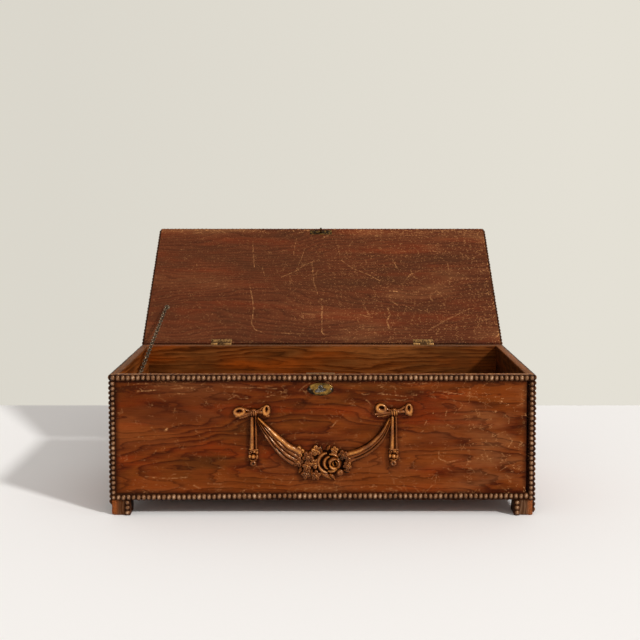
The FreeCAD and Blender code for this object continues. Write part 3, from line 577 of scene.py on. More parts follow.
def round_turns(count):
    """Evenly spaced angles once round a circle."""
    return [math.tau * step / count for step in range(count)]


def corners_of(places):
    """The low and the high corner of the box round some places."""
    return tuple(Vector([pick(place[axis] for place in places) for axis in range(3)]) for pick in (min, max))


def shut_places(node):
    """The points of a node on the lid, as they lie when the lid is shut."""
    return [LID_SHUT @ vertex.co for vertex in frame["nodes"][node].data.vertices]


def raw_solid(node):
    """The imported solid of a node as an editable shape."""
    shape = bmesh.new()
    shape.from_mesh(frame["nodes"][node].data)
    return shape


def solid_of(node, turn=None):
    """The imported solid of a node, its flat faces whole again."""
    shape = raw_solid(node)
    if turn is not None:
        bmesh.ops.transform(shape, matrix=turn, verts=shape.verts)
    bmesh.ops.remove_doubles(shape, verts=shape.verts, dist=TOUCHING)
    bmesh.ops.dissolve_limit(shape, angle_limit=math.radians(1.0), verts=shape.verts, edges=shape.edges)
    return shape


def loose_parts(node):
    """The points of each separate solid of a node."""
    shape = raw_solid(node)
    bmesh.ops.remove_doubles(shape, verts=shape.verts, dist=TOUCHING)
    seen, parts = set(), []
    for start in shape.verts:
        part, queue = [], [start]
        while queue:
            vertex = queue.pop()
            if vertex not in seen:
                seen.add(vertex)
                part.append(vertex.co.copy())
                queue += [edge.other_vert(vertex) for edge in vertex.link_edges]
        if part:
            parts.append(part)
    shape.free()
    return parts


def rounded(shape, width, angle=math.radians(50)):
    """Round the sharp edges of a shape."""
    sharp = [edge for edge in shape.edges
             if len(edge.link_faces) == 2 and edge.calc_face_angle(0.0) > angle]
    bmesh.ops.bevel(shape, geom=sharp, offset=width, offset_type="OFFSET", segments=2, profile=0.5,
                    affect="EDGES", clamp_overlap=True)
    return shape


def cut_across(shape, levels):
    """New edges at some heights, so that paint above or below them doesn't spread over a whole face."""
    for level in levels:
        whole = shape.verts[:] + shape.edges[:] + shape.faces[:]
        bmesh.ops.bisect_plane(shape, geom=whole, plane_co=(0, 0, level), plane_no=(0, 0, 1))


def finished(shape, name):
    """A mesh of a shape, which is then given up."""
    made = bpy.data.meshes.new(name)
    shape.to_mesh(made)
    shape.free()
    return made


def steps_between(low, high, step, stops=()):
    """Evenly spaced places from low to high, and the stops between them."""
    count = max(2, int(round((high - low) / step)) + 1)
    places = [place for place in np.linspace(low, high, count)
              if all(abs(place - stop) > step * 0.35 for stop in stops)]
    return sorted(places + [stop for stop in stops if low < stop < high])


def stroke_paint(flat, strokes):
    """Wear at flat places from strokes of (points, width, strength)."""
    wear_and_highlight = np.zeros(len(flat))
    for points, width, strength in strokes:
        for start, end in zip(points, points[1:]):
            start, end = np.array(start), np.array(end)
            low, high = np.minimum(start, end) - width * 2, np.maximum(start, end) + width * 2
            near = np.where(((flat > low) & (flat < high)).all(axis=1))[0]
            run = end - start
            along = np.clip(((flat[near] - start) @ run) / max(run @ run, 1e-12), 0, 1)
            off = np.linalg.norm(flat[near] - start - along[:, None] * run, axis=1)
            wear_and_highlight[near] = np.maximum(wear_and_highlight[near], strength * np.clip(1.3 - off / width, 0, 1))
    return wear_and_highlight


def random_strokes(generator, count, low, high, reach, width, strength, lean=None):
    """Small scratches over a rectangle, in any direction or leaning one way."""
    strokes = []
    for _ in range(count):
        place = np.array([generator.uniform(low[0], high[0]), generator.uniform(low[1], high[1])])
        turn = generator.gauss(lean, 0.35) if lean is not None else generator.uniform(0, math.pi)
        points = [place]
        for _ in range(generator.choice((1, 2, 3))):
            turn += generator.gauss(0, 0.3)
            run = generator.uniform(0.25, 1.0) * reach
            points.append(points[-1] + np.array([math.cos(turn), math.sin(turn)]) * run)
        strokes.append((points, width * generator.uniform(0.6, 1.3), strength * generator.uniform(0.4, 1.0)))
    return strokes


def face_grid(across, up, holes, to_place):
    """A dense face over a rectangle, open over its holes: flat places, points and faces."""
    flat = [(x, z) for z in up for x in across]
    faces = []
    width = len(across)
    for row in range(len(up) - 1):
        for column in range(width - 1):
            x, z = (across[column] + across[column + 1]) / 2, (up[row] + up[row + 1]) / 2
            if not any(left < x < right and low < z < high for left, low, right, high in holes):
                corner = row * width + column
                faces.append((corner, corner + 1, corner + width + 1, corner + width))
    return np.array(flat), [to_place(*place) for place in flat], faces


def without_face(shape, axis, level):
    """Drop the flat faces of a shape that lie at a level of an axis."""
    gone = [face for face in shape.faces if all(abs(vertex.co[axis] - level) < 1e-5 for vertex in face.verts)]
    bmesh.ops.delete(shape, geom=gone, context="FACES_ONLY")


def faced_board(node, shape, points, faces, rest, wear_and_highlight, dirt_and_shade, scuff, axes, shift=0.0):
    """One painted mesh of a board and its dense face; rest gives wear, dirt and painted shade at a place off
    that face.
    """
    shape.verts.index_update()
    shape.verts.ensure_lookup_table()
    first = len(shape.verts)
    corners = [vertex.co.copy() for vertex in shape.verts]
    whole = [tuple(vertex.index for vertex in face.verts) for face in shape.faces]
    whole += [tuple(first + corner for corner in face) for face in faces]
    shape.free()
    made = bpy.data.meshes.new(node + "_piece")
    made.from_pydata([tuple(place) for place in corners + points], [], whole)
    rest_wear, rest_dirt = zip(*(rest(place) for place in corners))
    paint(made, axes, [*rest_wear, *wear_and_highlight], [*rest_dirt, *dirt_and_shade], shift, [0.0] * first + scuff)
    return made


# ---------------------------------------------------------------- boards
CRACK = (0.2708, 0.2725)  # across, the open joint beside the right corner strip
CRACK_SLOPE = 0.0003  # width of the joint's slanting walls
KEYHOLE = (0.0032, 0.0060)  # half width and half height of the opening left round it in the front
CLEAR_FRONT = (-HALF_WIDTH + 0.0062, 0.0296, HALF_WIDTH - 0.0094, 0.1799)  # the face inside the strips
PALE_SPOT = ((-0.2080, 0.1145), (-0.2060, 0.1155))  # a short bare mark at the left
PALE_SPOT_WIDTH = 0.0016
EDGE_FADE = 0.004  # a painted face comes up to the board's own plane over this distance from its edges
FRONT_INSET, LID_INSET = 0.0003, 0.0001  # how far inside the board's plane the painted faces lie
LID_COARSER = 1.15  # step of the lid's painted face over that of the front
BACK_EDGE = -FRONT  # the back of the lid
RUBBED_RIM = RIM - 0.0012  # above this the boards are rubbed
DIRTY_FOOT = 0.030  # below this they are dirty
PAINT_LEVELS = (RIM - 0.0022, 0.032)  # just below the rubbed rim, and just above the dirt
# painted shade darkens this inner face of the right side
RIGHT_WALL = (HALF_WIDTH - 0.012, HALF_WIDTH - 0.008)  # the inner face of the right side lies between
MORTISE_PLAY = 0.0001  # how much wider than a leaf or plate its opening in the painted face is, all round
FOOT_ROUND = 0.0012  # how far a foot's edges are rounded
FOOT_CORE, FOOT_DENT = 0.0095, 0.0022  # a foot is knocked in beyond the first, by the second at most
FOOT_SHOWN = 0.0242  # how much of a front foot is out in the light
BROKEN_DEPTH = 0.006  # how far in from its outer edges a front foot is broken
# Small scratches: how many, from and to (across, and up or on the lid back), length, width, strength, and
# the way they lean where they lean one way
FRONT_SCRATCHES = (
    (60, (-0.26, 0.035), (0.26, 0.175), 0.005, 0.0005, 0.6),
    (60, (-0.26, 0.15), (0.26, 0.178), 0.008, 0.0005, 0.7, 0.0),
    (50, (0.13, 0.04), (0.262, 0.17), 0.006, 0.0005, 0.8),
    (40, (-0.26, 0.03), (0.26, 0.05), 0.010, 0.0005, 0.6, 0.0),
)
LID_FIELDS = (
    (60, (-0.26, FRONT), (0.27, 0.12), 0.005, 0.0005, 0.6),
    (70, (-0.27, FRONT), (0.27, FRONT + 0.010), 0.006, 0.0006, 0.9, 0.0),
    (60, (0.02, FRONT), (0.275, FRONT + 0.018), 0.004, 0.0006, 1.0, 0.0),
    (60, (0.24, FRONT), (0.276, 0.12), 0.005, 0.0006, 0.9, 1.4),
    (30, (-0.02, FRONT + 0.05), (0.2, 0.05), 0.008, 0.0005, 0.8, 1.5),
)
SCUFFS = (  # lines rubbed into the front: places across and up in millimetres, and strength
    (((-245, 166), (-215, 168)), 0.9),
    (((-200, 170), (-170, 171)), 0.7),
    (((-130, 172), (-60, 170)), 0.6),
    (((75, 163), (105, 160), (125, 161)), 0.9),
    (((85, 156), (118, 153)), 0.7),
    (((160, 166), (205, 158)), 0.8),
    (((12, 118), (20, 127)), 0.9),
    (((155, 76), (166, 71), (184, 75)), 0.8),
    (((245, 108), (252, 100), (247, 92)), 0.9),
    (((222, 104), (240, 112)), 0.6),
    (((150, 43), (152, 58)), 0.6),
    (((236, 60), (246, 66)), 0.7),
    (((-235, 52), (-205, 49), (-180, 51)), 0.6),
)
LID_SCRATCHES = (  # under the lid: places across and back from its front edge in millimetres, and strength
    (((-120, 29), (-118, 56), (-114, 94)), 0.6),
    (((-119, 139), (-114, 166), (-111, 185), (-113, 217), (-107, 230), (-93, 237)), 1.0),
    (((-101, 92), (-96, 112)), 0.5),
    (((-45, 23), (-49, 62)), 0.5),
    (((-68, 115), (-44, 101), (-29, 86), (-8, 76)), 0.8),
    (((-44, 101), (-34, 66), (-30, 48)), 0.5),
    (((-54, 112), (-53, 144)), 0.6),
    (((-17, 83), (-14, 127), (-8, 152)), 0.7),
    (((0, 179), (-1, 235), (2, 240)), 1.3),
    (((-36, 201), (-30, 206), (-32, 196), (-14, 198)), 0.7),
    (((3, 20), (13, 14), (16, 7)), 1.8),
    (((45, 44), (51, 32)), 1.3),
    (((30, 74), (51, 95), (76, 109), (96, 124)), 0.8),
    (((131, 132), (147, 109), (162, 101)), 0.8),
    (((111, 146), (124, 148)), 2.0),
    (((109, 166), (122, 177)), 0.9),
    (((106, 185), (109, 198), (103, 214), (107, 227)), 1.7),
    (((212, 83), (212, 101)), 0.9),
    (((213, 118), (211, 132)), 1.2),
    (((165, 235), (192, 214), (239, 185)), 0.7),
    (((69, 182), (77, 204), (61, 198)), 0.9),
    (((30, 230), (38, 229), (44, 237)), 0.7),
    (((119, 74), (126, 95)), 0.8),
    (((211, 230), (214, 225)), 1.0),
    (((151, 166), (150, 182)), 0.7),
    (((-65, 237), (-35, 239)), 0.7),
    (((30, 64), (27, 44)), 0.6),
    (((176, 158), (189, 145)), 0.6),
)


def fade(distance, reach):
    """One at a place, and nothing at a reach from it."""
    return max(0.0, 1.0 - distance / reach)


def front_dirt_and_shade(x, z):
    """How dark a place of the front is: dirt and painted shade along the strips, dark in the open joint."""
    left, low, right, high = CLEAR_FRONT
    edge = min(x - left, right - x, z - low, high - z)
    joint = 1.0 if CRACK[0] <= x <= CRACK[1] else 0.0
    return max(fade(edge, 0.006) * 0.8, joint)


def front_scuff(x, z):
    """How scratched a place of the front is: most at the right, then along the top and the bottom."""
    right = max(0.0, min(1.0, (x - 0.10) / 0.12)) * 0.85
    return max(right, fade(RIM - 0.009 - z, 0.035) * 0.7, fade(z - 0.030, 0.022) * 0.55, 0.25)


def lid_scuff(x, y):
    """How scratched a place of the lid is: most along the front and right edges, least at the left."""
    rising = 0.3 + 0.25 * min(1.0, max(0.0, (x + 0.1) / 0.2))
    return max(fade(y - FRONT, 0.018), fade(HALF_WIDTH - x, 0.035), rising)


def in_metres(line):
    """Places in millimetres as places in metres."""
    return [(across * MM, up * MM) for across, up in line]


def carving_dirt_and_shade():
    """Strokes of old dirt and painted shade on the front, round and between the carved forms."""
    strokes = []
    for swag in (LEFT_SWAG, RIGHT_SWAG):
        for (x, z, width), (far_x, far_z, far_width) in zip(swag, swag[1:]):
            strokes.append((((x, z), (far_x, far_z)), (width + far_width) / 4 + 4, 0.62))
    for x, z in KNOTS.values():
        strokes.append((((x, z - 5), (x, z - 68)), 8.5, 0.62))
        strokes.append((((x, z), (x - 20, z)), 10, 0.62))
        strokes.append((((x, z), (x + 20, z + 1)), 10, 0.62))
    for x, z, radius, _, _ in SMALL_FLOWERS:
        strokes.append((((x, z), (x + 0.1, z)), radius + 4, 0.8))
    strokes.append(((ROSE, (ROSE[0] + 6, ROSE[1])), 21, 0.8))
    return [(in_metres(line), width * MM, strength) for line, width, strength in strokes]


def make_front(sizes):
    """The front board, its face painted with scratches and its right joint open."""
    low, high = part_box("escutcheon")
    middle = (low + high) / 2
    hole = (middle.x - KEYHOLE[0], middle.z - KEYHOLE[1], middle.x + KEYHOLE[0], middle.z + KEYHOLE[1])
    joint = (CRACK[0] - CRACK_SLOPE, *CRACK, CRACK[1] + CRACK_SLOPE)
    across = steps_between(-HALF_WIDTH, HALF_WIDTH, sizes.face_step, (*joint, hole[0], hole[2]))
    up = steps_between(FRONT_LOW.z, RIM, sizes.face_step, (hole[1], hole[3]))

    def to_place(x, z):
        warp = noise.noise(Vector((x * 9, z * 22, 3.0))) * sizes.face_warp
        inside = min(x + HALF_WIDTH, HALF_WIDTH - x, z - FRONT_LOW.z, RIM - z) / EDGE_FADE
        depth = sizes.crack_depth if CRACK[0] <= x <= CRACK[1] else 0.0
        return Vector((x, FRONT + (warp + FRONT_INSET) * min(1.0, inside) + depth, z))

    flat, points, faces = face_grid(across, up, [hole], to_place)
    generator = random.Random(11)
    strokes = [(in_metres(line), 0.0003 + 0.0004 * strength, min(1.0, strength)) for line, strength in SCUFFS]
    for field in FRONT_SCRATCHES:
        strokes += random_strokes(generator, *field)
    strokes.append((PALE_SPOT, PALE_SPOT_WIDTH, 1.3))
    dirt_and_shade = np.maximum([front_dirt_and_shade(x, z) for x, z in flat], stroke_paint(flat, carving_dirt_and_shade()))
    shape = solid_of("front_board")
    without_face(shape, 1, FRONT)
    cut_across(shape, PAINT_LEVELS)
    made = faced_board("front_board", shape, points, faces, rim_wear_and_shade, stroke_paint(flat, strokes), dirt_and_shade,
                       [front_scuff(x, z) for x, z in flat], "XZY")
    smooth_piece("front_board", made, woods()["front_stain"], "case")


def rim_wear_and_shade(place):
    """Wear and dirt of the bare edges: the rim is rubbed, the bottom is dirty, the right wall has painted
    shade.
    """
    if place.z > RUBBED_RIM:
        if place.y < FRONT_BACK + 0.001 and abs(place.x) < HALF_WIDTH - 0.001:
            return 0.35, 0.5
        return (0.5, 0.1) if place.y > BACK - 0.02 else (0.75, 0.3)
    # painted shade on the inner face of the right side
    right_wall_shade = RIGHT_WALL[0] < place.x < RIGHT_WALL[1] and abs(place.y) < BACK - 0.005
    return 0.0, 0.85 if place.z < DIRTY_FOOT or right_wall_shade else 0.0


def lid_mortises():
    """The places in the lid's underside that the hinge leaves and the link plate fill."""
    boxes = []
    for node in ("left_hinge_lid_leaf", "right_hinge_lid_leaf", "link_plate"):
        low, high = corners_of([place for place in shut_places(node)
                                if place.z > RIM + 0.0003 and place.y < BACK])
        play = Vector((MORTISE_PLAY, MORTISE_PLAY))
        boxes.append((*(low.xy - play), *(high.xy + play)))
    return boxes


def make_lid(sizes):
    """The lid board, its underside painted with scratches."""
    shape = solid_of("lid_board", LID_SHUT)
    under = min(vertex.co.z for vertex in shape.verts)
    holes = lid_mortises()
    step = sizes.face_step * LID_COARSER
    across_stops = [stop for hole in holes for stop in (hole[0], hole[2])]
    back_stops = [stop for hole in holes for stop in (hole[1], hole[3])]
    across = steps_between(-HALF_WIDTH, HALF_WIDTH, step, across_stops)
    back = steps_between(FRONT, BACK_EDGE, step, back_stops)
    holes = [(left, near, right, far if far < BACK_EDGE - 0.003 else BACK_EDGE + 1.0)
             for left, near, right, far in holes]  # those of the hinges are open at the back edge

    def to_place(x, y):
        warp = noise.noise(Vector((x * 7, y * 12, 8.0))) * sizes.face_warp
        inside = min(x + HALF_WIDTH, HALF_WIDTH - x, y - FRONT, BACK_EDGE - y) / EDGE_FADE
        return Vector((x, y, under + (abs(warp) + LID_INSET) * max(0.0, min(1.0, inside))))

    flat, points, faces = face_grid(across, back, holes, to_place)
    generator = random.Random(5)
    strokes = []
    for line, strength in LID_SCRATCHES:
        there = [(x, FRONT + depth) for x, depth in in_metres(line)]
        strokes.append((there, 0.0004 + 0.0003 * strength, min(1.2, 0.45 + 0.5 * strength)))
    for field in LID_FIELDS:
        strokes += random_strokes(generator, *field)
    dirt_and_shade = np.clip(1.0 - (BACK_EDGE - flat[:, 1]) / 0.010, 0, 1) * 0.5
    without_face(shape, 2, under)
    made = faced_board("lid_board", shape, points, faces,
                       lambda place: (0.3 if abs(place.y - BACK_EDGE) > 1e-4 else 0.1, 0.0),
                       stroke_paint(flat, strokes), dirt_and_shade, [lid_scuff(x, y) for x, y in flat], "XYZ", 0.41)
    made.transform(LID_OPEN)
    smooth_piece("lid_board", made, woods()["lid_stain"], "lid")


def worn_board(node, width, axes, shift, wear_and_highlight, levels=()):
    """A board made again with rounded edges; wear gives the wear, the dirt and the painted shade of a place.
    """
    shape = rounded(solid_of(node), width)
    cut_across(shape, levels)
    made = finished(shape, node + "_piece")
    worn, dirt_and_shade = zip(*(wear_and_highlight(vertex.co) for vertex in made.vertices))
    paint(made, axes, worn, dirt_and_shade, shift)
    smooth_piece(node, made, woods()["case_stain"], "case")


def make_walls(sizes):
    """The back, the two sides and the bottom, with rubbed rims."""
    worn_board("back_board", sizes.edge_round, "XZY", 0.23, rim_wear_and_shade, PAINT_LEVELS)
    for name, side in SIDES:
        worn_board(f"{name}_side", sizes.edge_round, "YZX", 0.5 + side * 0.1, rim_wear_and_shade, PAINT_LEVELS)
    worn_board("bottom_board", sizes.edge_round, "XYZ", 0.77, lambda place: (0.0, 0.35))


def make_foot(row, name, side):
    """A block with knocked corners; a front one has painted shade where it is hidden and is broken outside.
    """
    node = f"foot_{row}_{name}"
    shape = rounded(solid_of(node), FOOT_ROUND)
    bmesh.ops.subdivide_edges(shape, edges=shape.edges, cuts=5, use_grid_fill=True)
    low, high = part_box(node)
    centre = (low + high) / 2
    wear_and_highlight, dirt_and_shade = [], []
    for vertex in shape.verts:
        inward = centre - vertex.co
        at_corner = sum(abs(part) > FOOT_CORE for part in inward) >= 2
        # painted shade on the inner part of a front foot, a little dirt elsewhere
        in_shade = row == "front" and side * vertex.co.x < HALF_WIDTH - FOOT_SHOWN
        dirt_and_shade.append(1.0 if in_shade else 0.25)
        if at_corner and vertex.co.z < high.z - 0.001:
            dent = noise.noise(vertex.co * 190 + Vector((side * 4 + len(row), 0, 0)))
            vertex.co += inward.normalized() * (max(0.0, dent) * FOOT_DENT)
        outer = side * vertex.co.x > HALF_WIDTH - BROKEN_DEPTH and vertex.co.y < FRONT + BROKEN_DEPTH
        wear_and_highlight.append(1.0 if row == "front" and outer else 0.35 * at_corner)
    made = finished(shape, node + "_piece")
    paint(made, "ZXY", wear_and_highlight, dirt_and_shade, 0.3 + side)
    smooth_piece(node, made, woods()["strip_stain"], "case")


class LETTERBOX_OT_boards(bpy.types.Operator):
    """Make the boards of the case, the lid and the feet"""

    bl_idname = "letterbox.boards"
    bl_label = "Boards"

    def execute(self, context):
        """Build the pieces."""
        sizes = context.scene.letter_box_sizes
        make_front(sizes)
        make_lid(sizes)
        make_walls(sizes)
        for row in ("front", "back"):
            for name, side in SIDES:
                make_foot(row, name, side)
        return {"FINISHED"}


# ---------------------------------------------------------------- beaded strips
BEAD_TURN, BEAD_RISE = 12, 5  # points round a bead, and rings from its foot to its crown
SAGGING, SAG = "front_bottom_beads", 0.0010  # the strip that has come down at one end, and how far
STRIPS = (
    "front_top_beads", "front_bottom_beads", "front_left_corner_beads", "front_right_corner_beads",
    "left_top_beads", "right_top_beads", "left_bottom_beads", "right_bottom_beads",
    "left_front_corner_beads", "right_front_corner_beads", "left_back_corner_beads",
    "right_back_corner_beads", "lid_front_beads", "lid_left_beads", "lid_right_beads",
)


def strip_lay(node):
    """The body of a strip, the axes along it and out of it and the side it faces, as its name says."""
    body = "lid" if node.startswith("lid_") else "case"
    face = node.removeprefix("lid_").split("_")[0]
    out = 1 if face == "front" else 0
    along = 2 if "corner" in node else 1 - out
    return body, along, out, 1 if face == "right" else -1


def add_bead(form, foot, along, across, outward, generator):
    """A barrel bead, wider across the strip than along it; each side vector is half its size."""
    rows, wear_and_highlight = [], []
    rub = generator.uniform(0.72, 1.0)
    lean = generator.uniform(-0.12, 0.12)
    for ring in range(BEAD_RISE):
        lift = (math.pi / 2) * ring / (BEAD_RISE - 0.35)
        reach, height = math.cos(lift) ** 0.9, math.sin(lift)
        row = []
        for turn in round_turns(BEAD_TURN):
            cosine, sine = math.cos(turn), math.sin(turn)
            far = cosine * reach + lean * sine * reach
            wide = math.copysign(abs(sine) ** 0.85, sine) * reach
            row.append(foot + along * far + across * wide + outward * height)
        rows.append(row)
        # crowns paler, rubbed and with a painted highlight; upper halves lighter and lower ones darker,
        # painted light and shade
        wear_and_highlight.append([rub * height ** 2.6 * (0.95 + 0.35 * (point - foot).z / across.length) for point in row])
    form.skin(rows, wear_and_highlight, around=True)
    crown = [(step, (step + 1) % BEAD_TURN, BEAD_TURN) for step in range(BEAD_TURN)]
    form.add(rows[-1] + [foot + outward], crown, [rub] * (BEAD_TURN + 1))


def add_web(form, start, end, across, outward):
    """The thin back of a strip, between the beads."""
    form.skin([[base - across, base - across * 0.94 + outward, base + across * 0.94 + outward, base + across]
               for base in (start, end)], around=True, ends=True)


def add_strip(form, low, high, along_axis, out_axis, side, pitch, generator, sag=0.0):
    """A row of beads on its web inside a box."""
    size = high - low
    across_axis = 3 - along_axis - out_axis
    count = max(1, round(size[along_axis] / pitch))
    step = size[along_axis] / count
    foot = (low + high) / 2
    foot[out_axis] = low[out_axis] if side > 0 else high[out_axis]
    foot[along_axis] = low[along_axis]
    along, across = unit(along_axis), unit(across_axis) * (size[across_axis] / 2)
    outward = unit(out_axis) * side * size[out_axis]
    add_web(form, foot, foot + along * size[along_axis], across * 0.97, outward * 0.34)
    for index in range(count):
        swell = generator.uniform(0.97, 1.06)
        place = foot + along * ((index + 0.5) * step)
        drop = sag * math.cos(math.pi * min(1.0, (index + 0.5) / count * 2.2))
        place += across.normalized() * (generator.gauss(0, 0.00008) - drop)
        add_bead(form, place, along * (step * 0.5 * swell), across * (0.97 * swell),
                 outward * generator.uniform(0.93, 1.0), generator)


class LETTERBOX_OT_beads(bpy.types.Operator):
    """Make the beaded strips of the case, the lid and the feet"""

    bl_idname = "letterbox.beads"
    bl_label = "Beaded strips"

    def execute(self, context):
        """Build the pieces."""
        pitch = context.scene.letter_box_sizes.bead_pitch
        generator = random.Random(23)
        look = woods()["bead_stain_and_shade"]
        for node in STRIPS:
            body, along, out, side = strip_lay(node)
            low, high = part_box(node) if body == "case" else corners_of(shut_places(node))
            form = Form()
            add_strip(form, low, high, along, out, side, pitch, generator, SAG if node == SAGGING else 0.0)
            form.stand_for(node, look, body, "XYZ", LID_OPEN if body == "lid" else None)
        for node, out in (("front_foot_beads", 1), ("side_foot_beads", 0)):
            form = Form()
            for low, high in sorted(map(corners_of, loose_parts(node)), key=lambda box: tuple(box[0])):
                side = -1 if (low + high)[out] < 0 else 1
                add_strip(form, low, high, 2, out, side, pitch, generator)
            form.stand_for(node, look, "case", "XYZ")
        return {"FINISHED"}


# ---------------------------------------------------------------- carving, in millimetres on the front
CARVING_RELIEF = 1.25  # all heights of the carving are multiplied by this
RIDGE_STEPS = 8  # faces over the back of a ridge
LOOP_HEIGHT = 4.8


def carved(x, z, height):
    """A point on the front, proud of it."""
    return Vector((x * MM, FRONT - height * CARVING_RELIEF * MM, z * MM))


def lamp_side(across, up):
    """How far a direction on the front points up and right, to the lamp; painted highlight that way, shade
    the other.
    """
    return across * 0.5 + up * 0.86


def turned_by(tilt, wide, tall):
    """Two distances on the front, turned by an angle."""
    return wide * math.cos(tilt) - tall * math.sin(tilt), wide * math.sin(tilt) + tall * math.cos(tilt)


def side_at(path, index):
    """The direction square to a path at one of its points, to the right of its run."""
    before, after = path[max(index - 1, 0)], path[min(index + 1, len(path) - 1)]
    run = Vector((after[0] - before[0], after[1] - before[1])).normalized()
    return Vector((run.y, -run.x))


def add_dome(form, x, z, half_wide, half_tall, tilt, base, rise, dimple=0.0, points=14, rings=6, rub=1.0):
    """A rounded boss, with a hollow in its crown if it has a dimple."""
    rows, wear_and_highlight = [], []
    for ring in range(rings + 1):
        part = 1.0 - ring / rings * 0.97
        swell = math.sqrt(max(0.0, 1.0 - part ** 2.4))
        hollow = 1.0 - dimple * math.exp(-((part / 0.42) ** 2))
        height = 0.0 if ring == 0 else base + rise * swell * hollow
        # crest paint: rubbed, and a painted highlight on the crown, darker in a dimple
        worn = rub * (swell ** 1.5 if hollow > 0.8 else swell * hollow - 0.25)
        row, marks = [], []
        for turn in round_turns(points):
            across, up = turned_by(tilt, half_wide * part * math.cos(turn), half_tall * part * math.sin(turn))
            row.append(carved(x + across, z + up, height))
            # lighter towards the lamp and darker away from it: painted highlight and shade
            lit = lamp_side(math.cos(turn + tilt), math.sin(turn + tilt))
            marks.append(worn * (0.85 + 0.4 * part * lit))
        rows.append(row)
        wear_and_highlight.append(marks)
    form.skin(rows, wear_and_highlight, around=True)
    last = len(form.points) - points
    form.faces.append(tuple(range(last, last + points)))


def add_flower(form, x, z, radius, base, start):
    """Five rounded petals round a dimpled button."""
    rub = 0.95 + 0.25 * math.sin(x * 1.3 + z)
    for petal in range(5):
        tilt = start + math.tau * petal / 5
        reach = radius * (0.54 + 0.05 * math.sin(petal * 2.3 + start))
        rise = 3.4 + 0.9 * math.sin(petal * 1.7 + x)
        add_dome(form, x + reach * math.cos(tilt), z + reach * math.sin(tilt), radius * 0.50, radius * 0.44,
                 tilt, base, rise, dimple=0.35, rings=7, rub=rub)
    add_dome(form, x, z, radius * 0.34, radius * 0.34, 0.0, base + 2.0, 3.4, dimple=0.5, points=12, rub=1.2)


def add_ridge(form, path, halves, heights, rub=1.0, edge=2.2):
    """A rounded ridge along a path of (x, z), as carved drapery has; halves and heights go with the path."""
    rows, wear_and_highlight = [], []
    for index, (x, z) in enumerate(path):
        side = side_at(path, index)
        row, marks = [], []
        for step in range(RIDGE_STEPS + 1):
            turn = math.pi * step / RIDGE_STEPS
            lift = math.sin(turn)
            off, height = -math.cos(turn) * halves[index], lift ** 0.8 * heights[index]
            row.append(carved(x + side.x * off, z + side.y * off, height))
            # paler along the crest, rubbed and a painted highlight; lighter towards the lamp, darker away:
            # painted light and shade
            marks.append(rub * lift ** edge * (0.85 - 0.45 * math.cos(turn) * lamp_side(side.x, side.y)))
        rows.append(row)
        wear_and_highlight.append(marks)
    form.skin(rows, wear_and_highlight, ends=True)


def curve_points(path, count):
    """Points along a smooth curve through a few given ones."""
    made = []
    spans = len(path) - 1
    for index in range(count):
        place = index / (count - 1) * spans
        span = min(int(place), spans - 1)
        part = place - span
        p0, p1 = path[max(span - 1, 0)], path[span]
        p2, p3 = path[span + 1], path[min(span + 2, spans)]
        made.append(tuple(0.5 * (2 * b + (c - a) * part + (2 * a - 5 * b + 4 * c - d) * part ** 2
                                 + (3 * b - a - 3 * c + d) * part ** 3)
                          for a, b, c, d in zip(p0, p1, p2, p3)))
    return made


def add_pleats(form, path, pleats, relief, lead, rub):
    """Gathered cloth along a path of (x, z, width): pleats that fan out, the lead one proud of the others."""
    spine = curve_points(path, 30)
    for pleat in range(pleats):
        centre = (pleat + 0.5) / pleats * 2 - 1
        proud = 1.45 if pleat == lead else 1.0
        line, halves, heights = [], [], []
        for index, (x, z, width) in enumerate(spine):
            side = side_at(spine, index) * (centre * width / 2)
            line.append((x + side.x, z + side.y))
            halves.append(width / pleats * 0.58 * proud)
            roll = 1.0 - 0.28 * centre ** 2
            heights.append(relief * proud * roll * (0.9 + 0.1 * math.sin(index * 0.7 + pleat * 2.1)))
        add_ridge(form, line, halves, heights, rub * (1.0 if pleat == lead else 0.72))


def add_loop(form, x, z, half_wide, half_tall, tilt, bar):
    """An open loop of ribbon standing on its edge, thickest below."""
    rows, wear_and_highlight = [], []
    for turn in round_turns(26):
        thick = bar * (1.0 - 0.35 * math.sin(turn))
        row, marks = [], []
        for step in range(RIDGE_STEPS + 1):
            bend = math.pi * step / RIDGE_STEPS
            wide, tall = half_wide - math.cos(bend) * thick, half_tall - math.cos(bend) * thick
            across, up = turned_by(tilt, wide * math.cos(turn), tall * math.sin(turn))
            row.append(carved(x + across, z + up, math.sin(bend) ** 0.7 * LOOP_HEIGHT))
            # paler along the crest: rubbed, and a painted highlight
            marks.append(math.sin(bend) ** 2)
        rows.append(row)
        wear_and_highlight.append(marks)
    form.skin(rows + rows[:1], wear_and_highlight + wear_and_highlight[:1])


